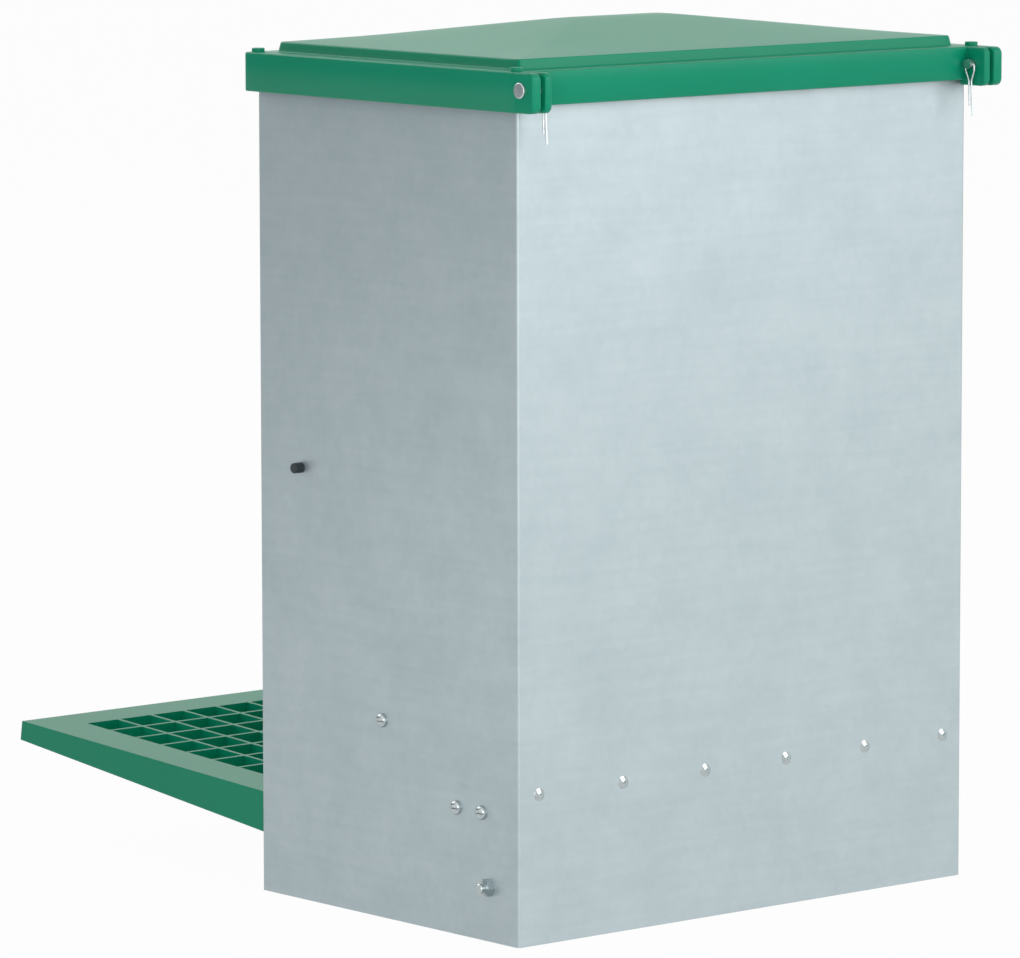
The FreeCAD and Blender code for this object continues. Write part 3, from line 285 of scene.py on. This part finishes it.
@dataclass(frozen=True)
class SoftPolythene:
    """Dipped soft polythene cap: near black, with a slightly dusty, uneven sheen."""

    dark: str = "#171E22"
    light: str = "#2A343A"
    speck: float = 1.5          # width of a speck of dust
    roughness: tuple[float, float] = (0.38, 0.60)

    def material(self) -> bpy.types.Material:
        """Dust specks lift the tone and the roughness.

        Returns:
            The finished material.
        """
        made, tree, place = blank_material("soft_polythene_black")
        dust = add(tree, "ShaderNodeTexNoise", {"Scale": per_metre(self.speck), "Detail": 3.0},
                   {"Vector": place})
        tone = add(tree, "ShaderNodeMix", {6: linear(self.dark), 7: linear(self.light)},
                   {0: dust.outputs["Fac"]}, data_type="RGBA")
        rough = add(tree, "ShaderNodeMapRange", {"To Min": self.roughness[0], "To Max": self.roughness[1]},
                    {"Value": dust.outputs["Fac"]})
        drive_shader(tree, {"Base Color": tone.outputs[2], "Roughness": rough.outputs["Result"]})
        return made


def finishes() -> dict[str, bpy.types.Material]:
    """Make each finish once.

    Returns:
        Materials by the name of their slot.
    """
    kinds = {
        Slot.SHEET: GalvanisedSheet(),
        Slot.MOULDING: MouldedPolypropylene(),
        Slot.FASTENER: PlatedSteel("bright_zinc_plate", "#98A2A4", "#C4CBCC", 1.6, (0.14, 0.24)),
        Slot.ROD: PlatedSteel("bright_drawn_bar", "#B4BABC", "#D6DADA", 2.5, (0.22, 0.36)),
        Slot.WIRE: PlatedSteel("zinc_plated_wire", "#B0B8BA", "#DCE1E1", 1.2, (0.20, 0.38)),
        Slot.CAP: SoftPolythene(),
    }
    return {slot.value: kind.material() for slot, kind in kinds.items()}


def ring_faces(rings: int, around: int) -> list[tuple[int, ...]]:
    """Quads between neighbouring rings, and one cap at each end.

    Vertex (i, j) is number i * around + j, and the quad (i, j) joins j to j + 1 on rings i and i + 1.

    Args:
        rings: Number of rings.
        around: Vertices in a ring.

    Returns:
        Vertex numbers of every face.
    """
    i, j = np.meshgrid(np.arange(rings - 1), np.arange(around), indexing="ij")
    k = (j + 1) % around
    quads = np.stack([i * around + j, i * around + k, (i + 1) * around + k, (i + 1) * around + j], -1)
    start = tuple(range(around))[::-1]
    end = tuple(range((rings - 1) * around, rings * around))
    return [tuple(q) for q in quads.reshape(-1, 4).tolist()] + [start, end]


def join_shells(shells: list[np.ndarray]) -> tuple[np.ndarray, list[tuple[int, ...]]]:
    """Put several closed shells of rings into one list of vertices and faces.

    Args:
        shells: Arrays of shape (rings, around, 3), in millimetres.

    Returns:
        Vertices in metres, and faces.
    """
    vertices, faces, first = [], [], 0
    for shell in shells:
        rings, around = shell.shape[:2]
        vertices.append(shell.reshape(-1, 3) * MM)
        faces += [tuple(first + n for n in face) for face in ring_faces(rings, around)]
        first += rings * around
    return np.concatenate(vertices), faces


def make_piece(name: str, shells: list[np.ndarray], finish: bpy.types.Material) -> bpy.types.Object:
    """Make one smooth-shaded object out of closed shells, its faces turned outwards.

    Args:
        name: Name of the piece.
        shells: Arrays of shape (rings, around, 3), in millimetres.
        finish: Its material.

    Returns:
        The new object, at the origin.
    """
    vertices, faces = join_shells(shells)
    mesh = bpy.data.meshes.new(name)
    mesh.from_pydata(vertices.tolist(), [], faces)
    work = bmesh.new()
    work.from_mesh(mesh)
    bmesh.ops.recalc_face_normals(work, faces=work.faces)
    work.to_mesh(mesh)
    work.free()
    mesh.shade_smooth()
    mesh.set_sharp_from_angle(angle=SHARP_ANGLE)
    mesh.materials.append(finish)
    piece = bpy.data.objects.new(name, mesh)
    bpy.context.scene.collection.objects.link(piece)
    return piece


def plate_along_x(outline: np.ndarray, x0: float, x1: float, edge: float) -> np.ndarray:
    """Plate between x0 and x1 with the given (y, z) outline and rounded rims.

    Ring at angle t of a rim: x = x0 + r (1 - sin t), outline drawn in towards its middle by r (1 - cos t).

    Args:
        outline: Closed outline, shape (around, 2).
        x0: Lower face.
        x1: Upper face.
        edge: Radius r of the rims.

    Returns:
        Rings of shape (rings, around, 3).
    """
    t = np.linspace(np.pi / 2, 0.0, RIM_STEPS)
    draw = edge * (1 - np.cos(t))
    x = np.concatenate([x0 + edge * (1 - np.sin(t)), (x1 - edge * (1 - np.sin(t)))[::-1]])
    draw = np.concatenate([draw, draw[::-1]])[:, None, None]
    middle = (outline.max(0) + outline.min(0)) / 2
    half = (outline.max(0) - outline.min(0)) / 2
    flat = middle + (outline - middle)[None] * (1 - draw / half)
    return np.concatenate([np.broadcast_to(x[:, None, None], flat.shape[:2] + (1,)), flat], -1)


def rounded_outline(y0: float, y1: float, z0: float, z1: float, front: float, rear: float) -> np.ndarray:
    """Outline of a plate in (y, z) with one radius at its front corners and one at its rear corners.

    Corner point = corner centre + radius * (cos a, sin a), a running a quarter turn.

    Args:
        y0: Front edge.
        y1: Rear edge.
        z0: Lower edge.
        z1: Upper edge.
        front: Radius of the two front corners.
        rear: Radius of the two rear corners.

    Returns:
        Points of shape (around, 2).
    """
    steps = np.linspace(0.0, np.pi / 2, CORNER_STEPS)
    centres = [(y1 - rear, z1 - rear, rear, 0.0), (y0 + front, z1 - front, front, 0.5),
               (y0 + front, z0 + front, front, 1.0), (y1 - rear, z0 + rear, rear, 1.5)]
    turns = [(y, z, r, steps + q * np.pi) for y, z, r, q in centres]
    return np.concatenate([np.stack([y + r * np.cos(a), z + r * np.sin(a)], -1) for y, z, r, a in turns])


@dataclass
class LidMoulding:
    """Moulded lid: crowned middle, flat ledge, skirts, rear band, hinge ears and stacking lugs.

    Sizes are in millimetres, in the frame's directions: x to the left side, y to the back, z up.
    """

    half: float = 157.3         # outer faces of the side skirts, in x
    front: float = -6.15        # outer face of the front skirt
    back: float = 205.55        # outer face of the rear band
    ledge: float = 430.1        # top of the flat ledge
    under: float = 427.9        # underside of the cover
    skirt_bottom: float = 410.4
    band_bottom: float = 413.3
    band_lap: float = 0.3       # the rear band runs this far into the inner ears
    slot_lip: float = 0.4       # edge left under the cover at the two hinge slots
    cut_share: float = 1e-4     # half the width of the step at each end of a slot, as a share of half the lid
    wall: float = 2.2
    rim: float = 0.8            # rounded top edge of the skirt
    foot: float = 0.4           # rounded lower edge of the skirt
    front_corner: float = 1.6
    rear_corner: float = 0.4
    plateau_inset: float = 11.7
    plateau_rise: float = 5.2
    plateau_slope: float = 1.0
    plateau_corner: float = 2.0
    plateau_edge: float = 0.8   # length of side and of top taken by the rounded upper edge
    plateau_foot: float = 0.25  # small rounding where the raised middle leaves the ledge
    plateau_brow: float = 1.4   # its steep side ends this many edge radii below the top
    crown: float = 12.0         # four shallow faces pitch up to a softly rounded ridge
    crown_round: float = 0.06   # that rounding, as a share of the way from the ridge to the edge
    ridge_half: float = 25.0    # half the ridge's length
    hip_round: float = 0.08     # the corners between the faces are drawn in by this share
    ear_end: float = 218.05
    ear_corner: float = 3.6     # rounded rear corners
    ear_front_corner: float = 0.5
    ear_edge: float = 0.9       # rounded rims
    outer_ear: tuple[float, float] = (151.4, 157.3)
    inner_ear: tuple[float, float] = (144.6, 148.9)
    ear_root: float = 200.0
    tuck: float = 0.06          # ears sink this far under the skirt and the ledge where they run into them
    step: tuple[float, float, float] = (0.65, 0.68, 0.70)   # inside the band: full ear, the divide, sunk ear
    lug_radius: float = 3.3
    lug_height: float = 2.0
    lug_inset: float = 5.1
    lug_sink: float = 0.5       # the lug begins this far inside the ledge
    lug_edge: float = 0.4
    lug_steps: int = 32

    @property
    def band_end(self) -> float:
        """Half the rear band's length."""
        return self.inner_ear[0] + self.band_lap

    def outline(self, inset: float, front: float, rear: float) -> np.ndarray:
        """Plan outline, drawn in by an inset, with its corners rounded.

        Corner point = corner centre + radius * (cos a, sin a); between two corners the points lie on a
        straight line.

        Args:
            inset: Distance inside the lid's edge.
            front: Radius of the two front corners.
            rear: Radius of the two rear corners.

        Returns:
            Points of shape (around, 2), the rear edge first.
        """
        a = self.half - inset
        y0, y1 = self.front + inset, self.back - inset
        steps = np.linspace(0.0, np.pi / 2, 8)
        cuts = np.array([self.outer_ear[0], self.band_end]) / self.half
        marks = np.concatenate([cuts + self.cut_share, cuts - self.cut_share])
        rear_run = np.sort(np.concatenate([marks, -marks, np.linspace(-0.88, 0.88, 30)]))[::-1]
        rear_run = (1 - rear_run) / 2
        plain_run = np.linspace(0.0, 1.0, 26)[1:-1]
        corners = [(a - rear, y1 - rear, rear, 0.0, rear_run),
                   (-a + rear, y1 - rear, rear, 0.5, plain_run),
                   (-a + front, y0 + front, front, 1.0, plain_run),
                   (a - front, y0 + front, front, 1.5, plain_run)]
        arcs = [np.stack([x + r * np.cos(steps + q * np.pi), y + r * np.sin(steps + q * np.pi)], -1)
                for x, y, r, q, _ in corners]
        parts = []
        for arc, following, corner in zip(arcs, arcs[1:] + arcs[:1], corners):
            run = corner[4][:, None]
            parts += [arc, arc[-1] * (1 - run) + following[0] * run]
        return np.concatenate(parts)

    def crown_rise(self, share: float) -> float:
        """Rise of the crown, a share of the way from the raised middle's edge to its ridge.

        With r the crown_round and a = sqrt(1 + r^2), the rise is
        crown * (a - sqrt((1 - share)^2 + r^2)) / (a - r): an even pitch that turns level at the ridge.

        Args:
            share: 0 at the edge, 1 at the ridge.

        Returns:
            Rise in millimetres.
        """
        start = math.hypot(1.0, self.crown_round)
        return self.crown * (start - math.hypot(1.0 - share, self.crown_round)) / (start - self.crown_round)

    def pitched(self, edge: np.ndarray, share: float) -> np.ndarray:
        """Ring of the crown: the edge's ring, a share of the way in to the ridge, and raised by crown_rise.

        With c = |x| |y| over their greatest values, a point is also drawn in by the share hip_round * c^4,
        which is felt only near the corners. It grows from nothing over the first quarter of the way.

        Args:
            edge: Ring of shape (around, 3) round the crown's foot.
            share: 0 at the edge, 1 at the ridge.

        Returns:
            Ring of shape (around, 3).
        """
        middle = np.array([0.0, (self.front + self.back) / 2, 0.0])
        arm = edge - middle
        reach = np.abs(arm[:, :2]).max(0)
        corner = np.prod(np.abs(arm[:, :2]) / reach, axis=1) ** 4
        ease = 1.0 - self.hip_round * min(1.0, 4.0 * share) * corner
        drawn = arm * np.array([1.0 - share * (1.0 - self.ridge_half / reach[0]), 1.0 - share, 1.0])
        drawn[:, :2] *= ease[:, None]
        return middle + drawn + np.array([0.0, 0.0, self.crown_rise(share)])

    def low_edge(self) -> np.ndarray:
        """Lower edge of the skirt: higher at the rear band, and almost no skirt at the hinge slots.

        Returns:
            Heights of shape (around,).
        """
        plan = self.outline(0.0, self.front_corner, self.rear_corner)
        rear = plan[:, 1] > self.back - 1e-6
        x = np.abs(plan[:, 0])
        level = np.full(len(plan), self.skirt_bottom)
        level = np.where(rear & (x < self.outer_ear[0]), self.under - self.slot_lip, level)
        return np.where(rear & (x < self.band_end), self.band_bottom, level)

    def ring(self, inset: float, height: np.ndarray | float) -> np.ndarray:
        """Ring at an inset, its corner radius growing from the outer edge's to the raised middle's.

        Args:
            inset: Distance inside the lid's edge.
            height: Height of the ring, or of each of its points.

        Returns:
            Ring of shape (around, 3).
        """
        share = min(1.0, inset / self.plateau_inset)
        front = self.front_corner + share * (self.plateau_corner - self.front_corner)
        rear = self.rear_corner + share * (self.plateau_corner - self.rear_corner)
        plan = self.outline(inset, front, rear)
        level = np.broadcast_to(np.asarray(height, float), (len(plan),))
        return np.concatenate([plan, level[:, None]], -1)

    def cover(self) -> np.ndarray:
        """Cover: a profile carried round the lid, from under the crown down inside the skirt and up over the top.

        Each ring is the outline at the profile's inset, at the profile's height. The crown's rings are drawn
        in towards the middle and pitched up.

        Returns:
            Rings of shape (rings, around, 3).
        """
        low = self.low_edge()
        top = self.ledge + self.plateau_rise
        edge = self.plateau_inset + self.plateau_slope
        lean = self.plateau_slope / self.plateau_rise
        shares = [0.02, 0.06, 0.12, 0.2, 0.3, 0.4, 0.5, 0.6, 0.7, 0.78, 0.85, 0.91, 0.96]
        turn = np.linspace(0.0, np.pi / 2, RIM_STEPS)
        climb = (3 * self.plateau_foot, self.plateau_rise / 2,
                 self.plateau_rise - self.plateau_brow * self.plateau_edge)
        hollow = self.ring(edge + self.wall, top - self.wall)
        brow = self.ring(edge + self.plateau_edge, top)
        rings = [self.pitched(hollow, share) for share in shares[::-1]]
        rings += [hollow, self.ring(self.plateau_inset + self.wall, self.under)]
        rings += [self.ring(self.wall, self.under), self.ring(self.wall, low)]
        rings += [self.ring(self.foot, low), self.ring(0.0, low + self.foot)]
        rings += [self.ring(self.rim * (1 - math.cos(a)), self.ledge - self.rim * (1 - math.sin(a)))
                  for a in turn]
        rings += [self.ring(self.plateau_inset - 2 * self.plateau_foot, self.ledge),
                  self.ring(self.plateau_inset, self.ledge + self.plateau_foot)]
        rings += [self.ring(self.plateau_inset + lean * up, self.ledge + up) for up in climb]
        rings += [self.ring(edge + self.plateau_edge * (s ** 2 - lean * (1 - s) ** 2),
                            top - self.plateau_edge * (1 - s) ** 2) for s in np.linspace(0.0, 1.0, 7)]
        rings += [self.pitched(brow, share) for share in shares]
        return np.stack(rings)

    def ear(self, x0: float, x1: float) -> np.ndarray:
        """Hinge ear: a plate with rounded rear corners, sunk slightly under the ledge and the skirt.

        Args:
            x0: Inner face.
            x1: Outer face.

        Returns:
            Rings of shape (rings, around, 3).
        """
        plain = rounded_outline(self.ear_root, self.ear_end, self.skirt_bottom, self.ledge,
                                self.ear_front_corner, self.ear_corner)
        full, divide, sunk = (self.back - inside for inside in self.step)
        upper_rear, front, lower_rear = np.split(plain, [CORNER_STEPS, 3 * CORNER_STEPS])
        over = np.array([[full, self.ledge], [sunk, self.ledge]])
        below = np.array([[sunk, self.skirt_bottom], [full, self.skirt_bottom]])
        outline = np.concatenate([upper_rear, over, front, below, lower_rear])
        plate = plate_along_x(outline, x0, x1, self.ear_edge)
        under = plate[..., 1] < divide
        plate[..., 0] = np.where(under, np.minimum(plate[..., 0], self.half - self.tuck), plate[..., 0])
        upper = np.minimum(plate[..., 2], self.ledge - self.tuck)
        plate[..., 2] = np.where(under, np.maximum(upper, self.skirt_bottom + self.tuck), plate[..., 2])
        return plate

    def lug(self, x: float, y: float) -> np.ndarray:
        """Stacking lug: rings of radius r(h) up a short cylinder with a rounded top.

        Args:
            x: Centre.
            y: Centre.

        Returns:
            Rings of shape (rings, around, 3).
        """
        angle = np.linspace(0.0, 2 * np.pi, self.lug_steps + 1)[:-1]
        turn = np.linspace(0.0, np.pi / 2, RIM_STEPS)
        radius = np.concatenate([[self.lug_radius], self.lug_radius - self.lug_edge * (1 - np.cos(turn))])
        rise = np.concatenate([[-self.lug_sink], self.lug_height - self.lug_edge * (1 - np.sin(turn))])
        height = rise + self.ledge
        return np.stack([x + radius[:, None] * np.cos(angle), y + radius[:, None] * np.sin(angle),
                         np.broadcast_to(height[:, None], (len(height), len(angle)))], -1)

    def build(self, finish: bpy.types.Material) -> bpy.types.Object:
        """Make the lid and put it in the place of its solid.

        Args:
            finish: Moulded green.

        Returns:
            The lid's object.
        """
        shells = [self.cover()]
        for span in (self.outer_ear, self.inner_ear):
            ear = self.ear(*span)
            shells += [ear, ear * np.array([-1.0, 1.0, 1.0])]
        x = self.half - self.lug_inset
        shells += [self.lug(side * x, y) for side in (-1, 1)
                   for y in (self.front + self.lug_inset, self.back - self.lug_inset)]
        piece = make_piece("lid_moulding", shells, finish)
        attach(piece, "lid")
        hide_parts("lid")
        LOG.info("lid_moulding: %d faces", len(piece.data.polygons))
        return piece


@dataclass
class SolidDressing:
    """Finishes for the nodes that keep their own solid."""

    replaced: tuple[str, ...] = ("lid",)

    def dress(self, frame: dict, made: dict[str, bpy.types.Material]) -> None:
        """Assign each node the finish of its slot in the record.

        Args:
            frame: The loaded frame.
            made: Materials by slot name.
        """
        for entry in frame["record"]["subparts"]:
            name = entry["node"]
            if name in self.replaced:
                continue
            node = frame["nodes"][name]
            finish = made[entry["material_slot"]]
            if not node.material_slots:
                node.data.materials.append(finish)
            for place in node.material_slots:
                place.material = finish
            LOG.info("%s: %s", name, finish.name)


def make_stage_plane(name: str, corners: list[tuple[float, float, float]],
                     paint: bpy.types.Material) -> bpy.types.Object:
    """Make one four-cornered plane of the studio.

    Args:
        name: Name of the plane.
        corners: Its four corners in metres, in order.
        paint: Its material.

    Returns:
        The new object.
    """
    mesh = bpy.data.meshes.new(name)
    mesh.from_pydata(corners, [], [(0, 1, 2, 3)])
    mesh.materials.append(paint)
    plane = bpy.data.objects.new(name, mesh)
    bpy.context.scene.collection.objects.link(plane)
    return plane


@dataclass(frozen=True)
class SoftLamp:
    """Square lamp: its name, its place and side in metres, and its power in watts."""

    name: str
    place: tuple[float, float, float]
    size: float
    power: float

    def build(self, target: tuple[float, float, float]) -> None:
        """Hang the lamp, turned to the target.

        Args:
            target: Point that it faces, in metres.
        """
        data = bpy.data.lights.new(self.name, "AREA")
        data.size = self.size
        data.energy = self.power
        lamp = bpy.data.objects.new(self.name, data)
        lamp.location = self.place
        aim = Vector(target) - lamp.location
        lamp.rotation_mode = "QUATERNION"
        lamp.rotation_quaternion = aim.to_track_quat("-Z", "Y")
        lamp.visible_camera = False
        bpy.context.scene.collection.objects.link(lamp)


@dataclass
class Studio:
    """Pale floor, soft lamps, grey screen, white surround and the camera. Lengths are in metres."""

    floor_half: float = 30.0
    floor_grey: str = "#CFCFCF"
    floor_white: float = 0.97   # share of plain white that eye and gloss see on it; the rest keeps the shadow
    ambient: float = 0.29       # strength of the surround's light on the object
    screen_grey: str = "#B6BFC3"
    screen_middle: tuple[float, float] = (1.42, -1.68)
    screen_along: tuple[float, float] = (0.763, 0.646)   # its direction in plan
    screen_size: tuple[float, float] = (2.6, 0.9)        # length and height
    lamp_target: tuple[float, float, float] = (0.0, 0.0, 0.2)
    lamps: tuple[SoftLamp, ...] = (
        SoftLamp("rear_softbox", (-1.5, 3.0, 1.6), 2.4, 61.0),
        SoftLamp("front_softbox", (0.6, -2.6, 1.8), 2.0, 34.0),
        SoftLamp("low_card", (0.80, -0.30, 0.06), 0.30, 0.35),
        SoftLamp("side_softbox", (2.4, 0.5, 1.6), 1.0, 4.0),
        SoftLamp("fold_card", (0.95, 1.14, 0.30), 0.90, 6.0),
    )
    azimuth: float = 139.77     # degrees, as are elevation and roll
    elevation: float = 7.26
    roll: float = -0.09
    sensor: float = 36.0        # millimetres, as is the lens
    lens: float = 235.8
    far: float = 100.0
    eye: tuple[float, float, float] = (2.232, 2.65355, 0.642)

    def seen(self, tree: bpy.types.NodeTree) -> bpy.types.NodeSocket:
        """Share that is 1 for what the eye, gloss or glass sees, and 0 for light on the object.

        Args:
            tree: Node tree of the floor or of the world.

        Returns:
            The socket that carries the share.
        """
        path = add(tree, "ShaderNodeLightPath").outputs
        first = add(tree, "ShaderNodeMath", links={0: path["Is Camera Ray"], 1: path["Is Glossy Ray"]},
                    operation="MAXIMUM")
        both = add(tree, "ShaderNodeMath", links={0: first.outputs[0], 1: path["Is Transmission Ray"]},
                   operation="MAXIMUM")
        return both.outputs[0]

    def floor(self) -> None:
        """Large pale floor that keeps the feeder's shadow."""
        paint = bpy.data.materials.new("matt_white_floor")
        paint.use_nodes = True
        tree = paint.node_tree
        shader = tree.nodes["Principled BSDF"]
        shader.inputs["Base Color"].default_value = linear(self.floor_grey)
        shader.inputs["Roughness"].default_value = 0.9
        glow = add(tree, "ShaderNodeEmission", {"Strength": 1.0})
        share = add(tree, "ShaderNodeMath", {1: self.floor_white}, {0: self.seen(tree)}, operation="MULTIPLY")
        mix = add(tree, "ShaderNodeMixShader",
                  links={0: share.outputs[0], 1: shader.outputs[0], 2: glow.outputs[0]})
        tree.links.new(mix.outputs[0], tree.nodes["Material Output"].inputs["Surface"])
        h = self.floor_half
        floor = make_stage_plane("floor", [(-h, -h, 0), (h, -h, 0), (h, h, 0), (-h, h, 0)], paint)

    def surround(self) -> None:
        """White surround for the eye and for gloss, and a plainer level of light on the object."""
        world = bpy.data.worlds.new("studio")
        bpy.context.scene.world = world
        world.use_nodes = True
        tree = world.node_tree
        back = tree.nodes["Background"]
        back.inputs["Color"].default_value = linear("#FFFFFF")
        level = add(tree, "ShaderNodeMapRange", {"To Min": self.ambient, "To Max": 1.0},
                    {"Value": self.seen(tree)})
        tree.links.new(level.outputs["Result"], back.inputs["Strength"])

    def screen(self) -> None:
        """Grey screen beside the feeder, out of view, which the sheet's side mirrors as in a room."""
        cloth = bpy.data.materials.new("grey_felt_screen")
        cloth.use_nodes = True
        shader = cloth.node_tree.nodes["Principled BSDF"]
        shader.inputs["Base Color"].default_value = linear(self.screen_grey)
        shader.inputs["Roughness"].default_value = 1.0
        length, height = self.screen_size
        reach = np.array(self.screen_along) * length / 2
        near, away = self.screen_middle - reach, self.screen_middle + reach
        corners = [(*near, 0.0), (*away, 0.0), (*away, height), (*near, height)]
        screen = make_stage_plane("screen", corners, cloth)
        screen.visible_camera = False

    def camera(self) -> None:
        """Camera at its place, turned by azimuth, elevation and roll."""
        a, e = math.radians(self.azimuth), math.radians(self.elevation)
        back = Vector((math.sin(a) * math.cos(e), -math.cos(a) * math.cos(e), math.sin(e)))
        data = bpy.data.cameras.new("camera")
        data.sensor_width = self.sensor
        data.lens = self.lens
        data.clip_end = self.far
        camera = bpy.data.objects.new("camera", data)
        camera.location = self.eye
        camera.rotation_mode = "QUATERNION"
        turn = Quaternion((0.0, 0.0, 1.0), math.radians(self.roll))
        camera.rotation_quaternion = (-back).to_track_quat("-Z", "Y") @ turn
        bpy.context.scene.collection.objects.link(camera)
        bpy.context.scene.camera = camera

    def build(self) -> None:
        """Set up floor, surround, screen, lamps and camera."""
        bpy.context.scene.view_settings.view_transform = "Standard"
        self.floor()
        self.surround()
        self.screen()
        for lamp in self.lamps:
            lamp.build(self.lamp_target)
        self.camera()
        LOG.info("studio ready")


def main() -> None:
    """Load the solids, dress them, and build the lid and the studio."""
    logging.basicConfig(level=logging.INFO, format="%(name)s %(message)s")
    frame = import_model()
    made = finishes()
    SolidDressing().dress(frame, made)
    LidMoulding().build(made[Slot.MOULDING.value])
    Studio().build()


if __name__ == "__main__":
    main()
